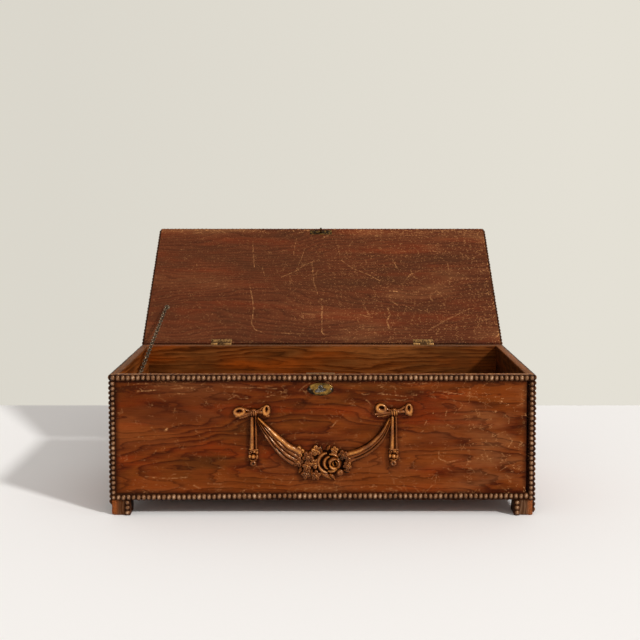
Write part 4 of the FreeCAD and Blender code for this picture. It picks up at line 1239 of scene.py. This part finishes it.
BOW_LOOPS = {  # from the knot: middle across and up, half width and height, tilt, half the ribbon's thickness
    "left": ((-18.4, 1.4, 6.2, 4.2, 0.10, 3.1), (17.4, 3.6, 3.4, 5.4, -0.15, 2.9)),
    "right": ((-16.4, 5.4, 5.6, 4.6, -0.30, 3.1), (19.8, 4.6, 3.4, 5.6, 0.05, 2.9)),
}
BOW_FOLDS = {  # from the knot: three places along the fold, half widths at its start and end, height
    "left": (
        ((-3.0, -0.2), (-11.0, -2.6), (-23.0, -5.2), 2.4, 2.8, 5.2),
        ((-3.0, 1.6), (-8.0, 3.0), (-14.0, 5.6), 2.0, 1.8, 4.6),
        ((-3.0, -2.0), (-10.0, -5.2), (-18.0, -7.4), 1.8, 2.2, 4.2),
        ((3.5, 0.0), (8.0, 0.4), (14.0, -0.4), 2.6, 3.0, 4.4),
        ((3.0, 1.6), (8.5, 3.4), (13.5, 7.4), 1.8, 1.8, 4.4),
        ((13.0, -2.0), (17.0, -4.2), (22.0, -4.6), 2.4, 3.0, 4.2),
    ),
    "right": (
        ((-3.0, -0.2), (-12.0, -1.2), (-25.0, -2.6), 2.4, 2.8, 5.2),
        ((-3.0, 1.6), (-7.5, 3.4), (-12.0, 6.4), 2.0, 1.8, 4.6),
        ((-3.0, -2.0), (-12.0, -4.6), (-22.0, -5.8), 1.8, 2.2, 4.2),
        ((3.5, 0.0), (9.0, 0.6), (16.0, 0.6), 2.6, 3.0, 4.6),
        ((3.0, 1.6), (9.0, 3.6), (15.5, 7.6), 1.8, 1.8, 4.4),
        ((15.0, -1.2), (20.0, -3.4), (24.5, -3.0), 2.4, 2.8, 4.2),
    ),
}


def make_bow(name, x, z):
    """The ribbon bow: two loops, the folds that lead to them and the knot."""
    form = Form()
    for across, up, half_wide, half_tall, tilt, bar in BOW_LOOPS[name]:
        add_loop(form, x + across, z + up, half_wide, half_tall, tilt, bar)
    count = 14
    for *bends, thin, thick, height in BOW_FOLDS[name]:
        path = curve_points([(x + across, z + up) for across, up in bends], count)
        halves = [(thin + (thick - thin) * index / (count - 1)) * (1.0 if index < count - 2 else 0.75)
                  for index in range(count)]
        heights = [height * (0.9 + 0.1 * math.sin(index)) for index in range(count)]
        add_ridge(form, path, halves, heights, 0.85)
    for offset, half in ((-2.7, 1.8), (0.4, 2.2), (3.2, 1.7)):
        add_dome(form, x + offset, z - 0.4, half, 5.6, 0.12, 1.6, 4.8)
    add_dome(form, x + 0.4, z + 3.6, 4.0, 2.0, 0.0, 1.6, 5.2)
    form.stand_for(f"{name}_bow", woods()["carved_stain_and_shade"], "case")


RIBS = (  # from the knot: across at the top and at the foot, half widths there, height, rub
    (-1.8, -2.2, 2.4, 3.6, 4.2, 1.0), (2.9, 3.8, 1.3, 2.0, 3.4, 0.7), (0.9, 1.4, 0.7, 0.9, 2.0, 0.1),
)
TASSEL = (  # across and down from the tassel's top, half sizes, tilt, height, dimple
    (-4.2, 3.6, 3.0, 2.6, 0.5, 4.2, 0.5),
    (1.0, 2.8, 3.4, 2.2, 0.0, 4.6, 0.0),
    (4.6, 4.4, 2.4, 3.0, -0.3, 3.8, 0.3),
    (-4.8, 9.2, 2.4, 3.6, 0.2, 3.6, 0.2),
    (0.0, 9.4, 3.8, 3.8, 0.0, 5.6, 0.0),
    (4.6, 10.2, 2.3, 3.8, -0.2, 3.8, 0.2),
    (-0.4, 18.6, 5.2, 4.8, 0.1, 5.0, 0.45),
)
TASSEL_BANDS = (  # three places across and up from the tassel's top, half widths and heights there
    (((-5.6, 0.6), (0.0, -0.9), (6.4, 0.0)), (1.4, 1.7, 1.4), (3.6, 5.0, 3.8)),
    (((-4.4, -14.0), (0.0, -14.9), (4.4, -13.6)), (1.2, 1.4, 1.2), (3.6, 5.2, 3.8)),
)


def make_drop(name, x, z):
    """The ribbed ribbon end and its tassel."""
    form = Form()
    foot = z - 49.5
    count = 16
    for start, end, thin, thick, height, rub in RIBS:
        rib = curve_points([(x + start, z - 5.5), (x + (start + end) / 2, z - 26), (x + end, foot)], count)
        halves = [thin + (thick - thin) * index / (count - 1) for index in range(count)]
        heights = [height * (1 - 0.06 * math.sin(index)) for index in range(count)]
        add_ridge(form, rib, halves, heights, rub, 1.6)
    for band, halves, heights in TASSEL_BANDS:
        add_ridge(form, [(x + across, foot + up) for across, up in band], halves, heights)
    for across, down, wide, tall, tilt, rise, dimple in TASSEL:
        add_dome(form, x + across, foot - down, wide, tall, tilt, 0.6, rise, dimple)
    form.stand_for(f"{name}_drop", woods()["carved_stain_and_shade"], "case")


KNOTS = {"left": (-91.2, 138.6), "right": (94.4, 139.2)}  # from the middle of the box and the floor
LEFT_SWAG = (  # across, up, width
    (-86.0, 131.5, 4.0), (-73.5, 114.0, 12.5), (-60.5, 98.5, 18.0), (-47.5, 86.0, 21.5), (-34.0, 77.5, 24.0),
)
RIGHT_SWAG = (
    (90.0, 130.5, 4.0), (79.5, 108.0, 9.5), (66.0, 93.5, 12.0), (51.0, 84.0, 13.0), (34.0, 78.0, 14.0),
)
SMALL_FLOWERS = (  # across, up, radius, base, first petal's turn
    (-31.5, 86.0, 8.2, 1.2, 0.2), (-19.0, 79.4, 8.6, 2.6, 0.9), (-8.0, 87.6, 7.6, 1.4, 0.5),
    (-32.0, 72.5, 7.8, 1.2, 0.1), (-20.5, 67.5, 7.2, 1.8, 0.5), (-21.7, 56.5, 7.4, 0.8, 0.7),
    (-8.6, 54.6, 7.2, 1.0, 0.2), (-9.8, 70.5, 7.0, 1.4, 1.0), (27.0, 82.0, 7.0, 2.2, 0.6),
    (35.5, 77.5, 6.6, 1.8, 0.1), (33.0, 67.5, 6.6, 1.4, 0.9), (16.0, 88.0, 5.6, 1.0, 0.3),
)
LEAVES = (  # from, to, half width
    ((-3.0, 59.0), (12.0, 49.5), 4.2), ((10.0, 56.5), (17.5, 48.0), 3.4), ((28.0, 62.0), (37.0, 59.0), 3.6),
    ((-1.0, 84.0), (-3.0, 94.0), 2.8), ((6.0, 88.0), (10.0, 94.5), 3.0), ((-38.0, 82.0), (-34.0, 92.0), 2.8),
    ((-28.0, 66.0), (-31.0, 57.0), 3.2), ((-14.0, 63.0), (-15.5, 50.5), 2.8),
    ((34.0, 86.0), (42.0, 83.0), 3.0),
)
ROSE = (11.0, 71.0)
ROSE_PETALS = (  # arc's middle from the rose's, radius, from and to in degrees, half width, height
    (-3.6, 0.6, 16.2, 96, 196, 3.2, 5.4), (-3.4, 0.0, 15.6, 184, 266, 3.0, 5.0),
    (1.0, 1.0, 13.8, 36, 104, 2.9, 5.2), (1.0, 0.0, 13.6, -46, 40, 2.8, 5.0),
    (0.0, 0.0, 13.8, 250, 322, 3.0, 5.2), (0.0, 0.4, 11.4, 100, 246, 2.8, 6.6),
    (4.6, 0.2, 9.0, 62, 200, 3.0, 8.4), (4.8, -0.2, 9.0, 190, 300, 2.8, 7.8),
    (5.4, 0.0, 8.6, -66, 70, 2.6, 7.2), (5.6, 0.0, 4.2, 120, 250, 1.3, 7.0),
    (5.8, -0.2, 3.8, -70, 90, 1.2, 6.6),
)


def add_leaf(form, start, end, half):
    """A small leaf with a midrib."""
    count = 9
    path = curve_points([start, ((start[0] + end[0]) / 2, (start[1] + end[1]) / 2), end], count)
    shape = [math.sin(math.pi * (0.12 + 0.84 * index / (count - 1))) for index in range(count)]
    add_ridge(form, path, [half * part for part in shape], [1.4 + 2.4 * part for part in shape], 0.55)
    add_ridge(form, path, [0.8] * count, [1.8 + 2.9 * part for part in shape], 0.9)


def add_rose_petal(form, across, up, radius, start, stop, half, height):
    """A petal of the rose: a ridge along an arc, lower and narrower at its ends."""
    count = 14
    path, halves, heights = [], [], []
    for index in range(count):
        turn = math.radians(start + (stop - start) * index / (count - 1))
        swell = math.sin(math.pi * (index + 0.6) / (count + 0.2)) ** 0.5
        path.append((ROSE[0] + across + (radius - half) * math.cos(turn),
                     ROSE[1] + up + (radius - half) * math.sin(turn)))
        halves.append(half * swell)
        heights.append(height * (0.62 + 0.38 * swell))
    add_ridge(form, path, halves, heights)


def make_festoon():
    """Swags of gathered cloth, the rose, the small flowers and their leaves."""
    form = Form()
    add_pleats(form, LEFT_SWAG, 4, 6.0, lead=0, rub=1.1)
    add_pleats(form, RIGHT_SWAG, 3, 5.4, lead=2, rub=0.95)
    add_dome(form, 1.0, 71.0, 36.0, 17.0, 0.0, 0.3, 1.4, points=24, rings=3, rub=0.0)  # the ground of it all
    for start, end, half in LEAVES:
        add_leaf(form, start, end, half)
    for x, z, radius, base, turn in SMALL_FLOWERS:
        add_flower(form, x, z, radius, base, turn)
    add_dome(form, *ROSE, 13.0, 12.5, 0.0, 0.8, 2.4, points=18, rub=0.0)
    add_dome(form, 23.5, 58.6, 5.4, 4.8, 0.5, 1.6, 4.6, dimple=0.25, rings=7)  # a bud below the rose
    for petal in ROSE_PETALS:
        add_rose_petal(form, *petal)
    form.stand_for("festoon", woods()["carved_stain_and_shade"], "case")


class LETTERBOX_OT_carving(bpy.types.Operator):
    """Make the carved bows, drops and festoon on the front"""

    bl_idname = "letterbox.carving"
    bl_label = "Carved garland"

    def execute(self, context):
        """Build the pieces."""
        for name, knot in KNOTS.items():
            make_bow(name, *knot)
            make_drop(name, *knot)
        make_festoon()
        return {"FINISHED"}


# ---------------------------------------------------------------- metalwork
PLATE_EDGE, THICK_EDGE, ROUND_EDGE, KEY_EDGE = 0.00015, 0.0002, 0.0003, 0.0005  # how far edges are softened
SCREW_PROFILE = (  # share of the head's radius, and millimetres proud
    (1.0, -0.3), (1.0, 0.04), (0.8, 0.07), (0.55, 0.09), (0.28, 0.1), (0.05, 0.1),
)
SLOT_DEPTH = 0.3  # millimetres
SLOT_HALF_WIDTH, SLOT_REACH = 0.17, 0.95  # shares of the head's radius
PIN_PROFILE = ((0.0, 0.0013), (0.0006, 0.0012), (0.0009, 0.0008), (0.0010, 0.0003))  # distance and radius
ESCUTCHEON_STEPS = (  # share of the half size, and millimetres proud of the front
    (1.0, 0.0), (0.99, 0.6), (0.95, 1.0), (0.89, 1.15), (0.83, 1.0), (0.79, 0.85), (0.62, 1.5),
    (0.45, 1.85), (0.3, 1.7), (0.2, 0.9),
)
LOCK_SCREWS, CASE_SCREWS, PIN_REACH = 0.0135, 0.014, 0.0136  # from the middle to each side
CASE_SCREW_RISE = 0.006  # above the lock case's bottom
PIN_FOOT = 0.0008  # height of the escutcheon's rim under its pins
LEAF_SCREW = 0.0040  # from a hinge leaf's front edge to its screws
LINK_SLACK = 0.0002  # how much longer each half link is than half the pitch


def add_pin_head(form, start, outward, profile, count=14):
    """A turned head: (distance, radius) along its axis, which lies level."""
    across = outward.cross(unit(2))
    up = outward.cross(across)
    form.skin([[start + outward * distance + (across * math.cos(turn) + up * math.sin(turn)) * radius
                for turn in round_turns(count)] for distance, radius in profile], around=True, ends=True)


def add_screw(form, place, outward, slot_way, diameter):
    """A countersunk screw head with its slot."""
    side = outward.cross(slot_way).normalized()
    rows = []
    for part, rise in SCREW_PROFILE:
        row = []
        for turn in round_turns(20):
            along, aside = math.cos(turn) * part, math.sin(turn) * part
            cut = SLOT_DEPTH if abs(aside) < SLOT_HALF_WIDTH and part < SLOT_REACH else 0.0
            level = place + outward * ((rise - cut) * MM)
            row.append(level + (slot_way * along + side * aside) * (diameter / 2))
        rows.append(row)
    form.skin(rows, around=True, ends=True)


def metal_copy(node, material, body, width, screws=(), diameter=0.0, darkening=None):
    """A metal node made again with softened edges and its screws; the last argument gives how dark a place is
    painted.
    """
    made = finished(rounded(solid_of(node), width, math.radians(60)), node + "_piece")
    if darkening:
        paint(made, "XYZ", dirt_and_shade=[darkening(vertex.co) for vertex in made.vertices])
    if screws:
        form = Form()
        for place, outward, slot_way in screws:
            add_screw(form, place, outward, slot_way, diameter)
        piece(node + "_screws", form.mesh(node + "_screws"), material, body)
    smooth_piece(node, made, material, body)


def screw_pair(middle, reach, outward, angle):
    """Screws as far to the left and to the right of a middle: place, way out and way of the slot."""
    across = unit(0)
    other = outward.cross(across)
    return [(middle + across * (side * reach), outward,
             across * math.cos(side * angle) + other * math.sin(side * angle)) for side in (-1, 1)]


def leaf_screws(low, high, level, outward, shares):
    """Screws of a hinge leaf, at shares of its length."""
    return [(Vector((low.x + (high.x - low.x) * part, low.y + LEAF_SCREW, level)), outward,
             Vector((1, part, 0)).normalized()) for part in shares]


def opened(screws):
    """Screws of the shut lid, as they lie when the lid is open."""
    turn = LID_OPEN.to_3x3()
    return [(LID_OPEN @ place, turn @ outward, turn @ slot_way) for place, outward, slot_way in screws]


def make_lock(sizes):
    """The lock: plate and screws on the rim, case, bolt and link plate."""
    brass = metals()["old_brass"]
    low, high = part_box("lock_selvedge")
    top = Vector(((low.x + high.x) / 2, (low.y + high.y) / 2, high.z))
    metal_copy("lock_selvedge", brass, "case", PLATE_EDGE, screw_pair(top, LOCK_SCREWS, unit(2), 1),
               sizes.screw_head)
    low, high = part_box("lock_case")
    back = Vector(((low.x + high.x) / 2, high.y, low.z + CASE_SCREW_RISE))
    metal_copy("lock_case", brass, "case", THICK_EDGE, screw_pair(back, CASE_SCREWS, unit(1), -2),
               sizes.screw_head)
    metal_copy("lock_bolt", metals()["worn_steel"], "bolt", PLATE_EDGE)
    places = shut_places("link_plate")
    under = min(place.z for place in places if place.z > RIM + 0.0002)
    low, high = corners_of(places)
    near, far = corners_of([place for place in places if place.z > under - 1e-5])
    below = Vector(((low.x + high.x) / 2, (near.y + far.y) / 2, under))
    metal_copy("link_plate", metals()["dark_brass"], "lid", PLATE_EDGE,
               opened(screw_pair(below, LOCK_SCREWS, -unit(2), -3)), sizes.screw_head)


def make_escutcheon():
    """The domed oval plate with its stepped rim, its hollow round the keyhole and its two pins."""
    low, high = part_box("escutcheon")
    centre, half = (low + high) / 2, (high - low) / 2
    form = Form()
    form.skin([[Vector((centre.x + half.x * part * math.cos(turn), high.y - rise * MM,
                        centre.z + half.z * part * math.sin(turn))) for turn in round_turns(48)]
               for part, rise in ESCUTCHEON_STEPS], around=True, ends=True)
    # darker at both sides, which is dirt; darker at the bottom and the left and lighter at the upper right,
    # which is painted shade and highlight; darker round the keyhole, dirt and the key's painted shadow
    form.dirt_and_shade = []
    for point in form.points:
        across, up = (point.x - centre.x) / half.x, (point.z - centre.z) / half.z
        edge = (abs(across) - 0.62) * 2.4 - up * 0.9 - across * 0.15
        keyhole_dirt_and_shade = 1.1 - 3.0 * math.hypot(across * 1.3, up)
        form.dirt_and_shade.append(max(0.0, min(1.0, max(edge, keyhole_dirt_and_shade, -0.5 - up * 1.1))))
    form.stand_for("escutcheon", metals()["plate_brass"], "case")
    pins = Form()
    for side in (-1, 1):
        foot = Vector((centre.x + side * PIN_REACH, high.y - PIN_FOOT, centre.z))
        add_pin_head(pins, foot, -unit(1), PIN_PROFILE)
    piece("escutcheon_pins", pins.mesh("escutcheon_pins"), metals()["worn_steel"], "case")


def make_key():
    """The steel key with its bow seen nearly edge on."""
    metal_copy("key", metals()["worn_steel"], "key", KEY_EDGE)


def pin_darkening(place):
    """How much darker a hinge leaf is painted close round the pin."""
    return 0.6 if math.hypot(place.y - HINGE_AXIS.y, place.z - HINGE_AXIS.z) < 0.004 else 0.0


def make_hinges(sizes):
    """The leaves with their screws, and the pins."""
    brass = metals()["old_brass"]
    for name, _ in SIDES:
        node = f"{name}_hinge_lid_leaf"
        places = shut_places(node)
        low, high = corners_of(places)
        under = min(place.z for place in places if place.y < BACK - 0.001)
        screws = opened(leaf_screws(low, high, under, -unit(2), (0.16, 0.84)))
        metal_copy(node, brass, "lid", PLATE_EDGE, screws, sizes.screw_head, pin_darkening)
        node = f"{name}_hinge_case_leaf"
        screws = leaf_screws(*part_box(node), RIM, unit(2), (0.16, 0.5, 0.84))
        metal_copy(node, brass, "case", PLATE_EDGE, screws, sizes.screw_head)
        metal_copy(f"{name}_hinge_pin", brass, "case", THICK_EDGE)


def add_link(form, middle, along, across, half_long, half_wide, wire):
    """A link of round wire in the plane of two directions: two straight sides and two round ends."""
    count = 28
    straight = half_long - half_wide
    line = []
    for step in range(count):
        turn = math.tau * (step + 0.5) / count
        far = math.copysign(straight, math.cos(turn)) + half_wide * math.cos(turn)
        line.append(middle + along * far + across * (half_wide * math.sin(turn)))
    normal = along.cross(across)
    rows = []
    for index, here in enumerate(line):
        run = (line[(index + 1) % count] - line[index - 1]).normalized()
        side = run.cross(normal).normalized()
        rows.append([here + (side * math.cos(turn) + normal * math.sin(turn)) * (wire / 2)
                     for turn in round_turns(8)])
    form.skin(rows + rows[:1], around=True)


def middle_of(places):
    """The mean of some places."""
    return sum(places, Vector()) / len(places)


def make_chain(sizes):
    """Interlocked round links, run by run, along the solids of the frame."""
    look = metals()["worn_chain"]
    wire, opening = sizes.link_wire, sizes.link_opening
    for number, joint in enumerate(CHAIN_JOINTS, 1):
        node = f"chain_{number}"
        pivot = Vector(joint["pos_m"])
        links = sorted(loose_parts(node), key=lambda link: (middle_of(link) - pivot).length)
        middles = [middle_of(link) for link in links]
        reach = middles[-1] - middles[0]
        pitch, along = reach.length / (len(links) - 1), reach.normalized()
        flat = (unit(0) - along * unit(0).dot(along)).normalized()
        form = Form()
        for link, middle in zip(links, middles):
            lies_flat = max(abs((point - middle).dot(flat)) for point in link) > opening / 2
            add_link(form, middle, along, flat if lies_flat else along.cross(flat),
                     pitch / 2 + LINK_SLACK + wire / 2, (opening + wire) / 2, wire)
        form.stand_for(node, look, f"chain_run_{number}")
    metal_copy("case_chain_eye", look, "case", ROUND_EDGE)
    metal_copy("lid_chain_stud", look, "lid", ROUND_EDGE)


class LETTERBOX_OT_metalwork(bpy.types.Operator):
    """Make the lock, the key, the hinges and the stay chain"""

    bl_idname = "letterbox.metalwork"
    bl_label = "Lock, hinges and chain"

    def execute(self, context):
        """Build the pieces."""
        sizes = context.scene.letter_box_sizes
        make_lock(sizes)
        make_escutcheon()
        make_key()
        make_hinges(sizes)
        make_chain(sizes)
        return {"FINISHED"}


# ---------------------------------------------------------------- stage
LAMP_TARGET = Vector((0.0, 0.0, 0.12))
KEY_WAY = Vector((0.63, -0.50, 0.59)).normalized() * 4.2  # from the target to the small lamp
SOFT_WAY = Vector((0.5, -0.9, 1.7))  # and to the large one
KEY_ANGLE, SOFT_SIZE = 0.09, 1.4  # radians, metres
ROUND_LIGHT = (1.0, 0.965, 0.94, 1.0)  # colour of the light from all round
CLOUD_TONE = (0.8, 0.79, 0.77, 1.0)  # the table's paint is clouded with this
TABLE_REACH = 5.0
TABLE_BACK = 0.56  # how far behind the middle of the box the backdrop stands
SHADE_REACH = 0.25  # slope of the sight line at which the backdrop's shade stops changing
SHADE_LEFT, SHADE_RIGHT = 0.94, 1.03  # the backdrop's light at both sides
SENSOR = 36.0  # millimetres


def add_lamp(name, kind, away, power, **settings):
    """A lamp of one kind that looks at the box from some way off."""
    data = bpy.data.lights.new(name, kind)
    data.energy = power
    for setting, value in settings.items():
        setattr(data, setting, value)
    lamp = add_object(name, data)
    lamp.location = LAMP_TARGET + away
    lamp.rotation_euler = (-away).to_track_quat("-Z", "Y").to_euler()


def sight_mix(tree, unseen, seen, front=1.0):
    """Mix two shaders: `seen` is for the eye, metal and glass, `unseen` for all light."""
    path = tree.node("ShaderNodeLightPath").outputs
    rays = tree.math("MAXIMUM", path["Is Camera Ray"], path["Is Glossy Ray"])
    rays = tree.times(tree.math("MAXIMUM", rays, path["Is Transmission Ray"]), front)
    return tree.node("ShaderNodeMixShader",
                     ((0, rays), (1, unseen.outputs[0]), (2, seen.outputs[0]))).outputs[0]


def backdrop_shade(tree, place, reach, stage):
    """The backdrop's colour, a little lighter towards the lamps."""
    way = tree.node("ShaderNodeTexCoord").outputs[place]
    across = tree.node("ShaderNodeSeparateXYZ", ((0, way),)).outputs["X"]
    light = tree.range(across, -reach, reach, SHADE_LEFT, SHADE_RIGHT)
    return tree.node("ShaderNodeVectorMath", ((0, stage.backdrop), ("Scale", light)),
                     operation="SCALE").outputs[0]


def make_world(stage):
    """Plain light from all round; the camera, metal and glass see the backdrop's colour."""
    world = bpy.data.worlds.new("studio")
    tree = Tree(world)
    light = tree.nodes["Background"]
    light.inputs["Color"].default_value = ROUND_LIGHT
    light.inputs["Strength"].default_value = stage.ambient
    shade = backdrop_shade(tree, "Generated", SHADE_REACH, stage)
    seen = tree.node("ShaderNodeBackground", (("Color", shade),))
    tree.feed(tree.nodes["World Output"].inputs["Surface"], sight_mix(tree, light, seen))
    bpy.context.scene.world = world


def add_sheet(name, corners, material):
    """A flat sheet of the stage."""
    form = Form()
    form.add([Vector(corner) for corner in corners], [(0, 1, 2, 3)])
    sheet = add_object(name, form.mesh(name))
    sheet.data.materials.append(material)


def make_backdrop(stage):
    """A sheet behind the table that only its front shows, and that lets all light through."""
    tree = Tree(bpy.data.materials.new("backdrop_sheet"))
    shade = backdrop_shade(tree, "Object", SHADE_REACH * (stage.camera_back + TABLE_BACK), stage)
    seen = tree.node("ShaderNodeEmission", (("Color", shade),))
    front = tree.minus(1.0, tree.node("ShaderNodeNewGeometry").outputs["Backfacing"])
    tree.feed(tree.nodes["Material Output"].inputs["Surface"],
              sight_mix(tree, tree.node("ShaderNodeBsdfTransparent"), seen, front))
    far = TABLE_REACH
    add_sheet("backdrop", ((-far, TABLE_BACK, 0), (far, TABLE_BACK, 0), (far, TABLE_BACK, far),
                           (-far, TABLE_BACK, far)), tree.owner)


def make_table(stage):
    """The pale table, very slightly clouded."""
    tree = Tree(bpy.data.materials.new("table_paint"))
    cloud = tree.range(tree.noise(tree.object_place(), 1.5, 1.5), 0.3, 0.7, 0.0, 0.03)
    tree.shade("Base Color", tree.mix(cloud, full(stage.floor), CLOUD_TONE))
    tree.shade("Roughness", 0.9)
    tree.shade("Specular IOR Level", 0.1)
    far = TABLE_REACH
    add_sheet("table", ((-far, -far, 0), (far, -far, 0), (far, far, 0), (-far, far, 0)), tree.owner)


def make_camera(stage):
    """The camera, straight in front of the box."""
    data = bpy.data.cameras.new("camera")
    data.sensor_width = SENSOR
    data.lens = SENSOR * stage.focal
    data.shift_x = stage.shift_across
    data.shift_y = stage.shift_up
    camera = add_object("camera", data)
    camera.location = (0.0, -stage.camera_back, stage.camera_height)
    camera.rotation_euler = (math.pi / 2 - stage.camera_pitch, 0.0, 0.0)
    bpy.context.scene.camera = camera


class LETTERBOX_OT_stage(bpy.types.Operator):
    """Make the table, the lamps, the backdrop's colour and the camera"""

    bl_idname = "letterbox.stage"
    bl_label = "Stage and camera"

    def execute(self, context):
        """Build the stage."""
        stage = context.scene.letter_box_stage
        make_table(stage)
        make_backdrop(stage)
        make_world(stage)
        add_lamp("key_lamp", "SUN", KEY_WAY, stage.key_strength, angle=KEY_ANGLE)
        add_lamp("soft_lamp", "AREA", SOFT_WAY, stage.soft_power, size=SOFT_SIZE)
        make_camera(stage)
        context.scene.view_settings.view_transform = "Standard"
        return {"FINISHED"}


# ---------------------------------------------------------------- panel
class LETTERBOX_PT_panel(bpy.types.Panel):
    """Settings and steps of the letter box"""

    bl_idname = "LETTERBOX_PT_panel"
    bl_label = "Letter Box"
    bl_space_type = "VIEW_3D"
    bl_region_type = "UI"
    bl_category = "Letter Box"

    def draw(self, context):
        """Lay out the settings and the buttons."""
        for group in (context.scene.letter_box_sizes, context.scene.letter_box_wood,
                      context.scene.letter_box_metal, context.scene.letter_box_stage):
            box = self.layout.box()
            for name in group.__annotations__:
                box.prop(group, name)
        for operator in OPERATORS:
            self.layout.operator(operator.bl_idname)


OPERATORS = (LETTERBOX_OT_boards, LETTERBOX_OT_beads, LETTERBOX_OT_carving, LETTERBOX_OT_metalwork,
             LETTERBOX_OT_stage)
GROUPS = {
    "letter_box_wood": LetterBoxWood,
    "letter_box_metal": LetterBoxMetal,
    "letter_box_sizes": LetterBoxSizes,
    "letter_box_stage": LetterBoxStage,
}


def register():
    """Add the settings, the steps and the panel."""
    for name, group in GROUPS.items():
        bpy.utils.register_class(group)
        setattr(bpy.types.Scene, name, bpy.props.PointerProperty(type=group))
    for entry in OPERATORS + (LETTERBOX_PT_panel,):
        bpy.utils.register_class(entry)


def unregister():
    """Take the panel, the steps and the settings away."""
    for entry in (LETTERBOX_PT_panel,) + OPERATORS[::-1]:
        bpy.utils.unregister_class(entry)
    for name, group in GROUPS.items():
        delattr(bpy.types.Scene, name)
        bpy.utils.unregister_class(group)


def main():
    """Build the whole box."""
    register()
    for step in (bpy.ops.letterbox.boards, bpy.ops.letterbox.beads, bpy.ops.letterbox.carving,
                 bpy.ops.letterbox.metalwork, bpy.ops.letterbox.stage):
        step()
    bpy.context.view_layer.update()


if __name__ == "__main__":
    main()
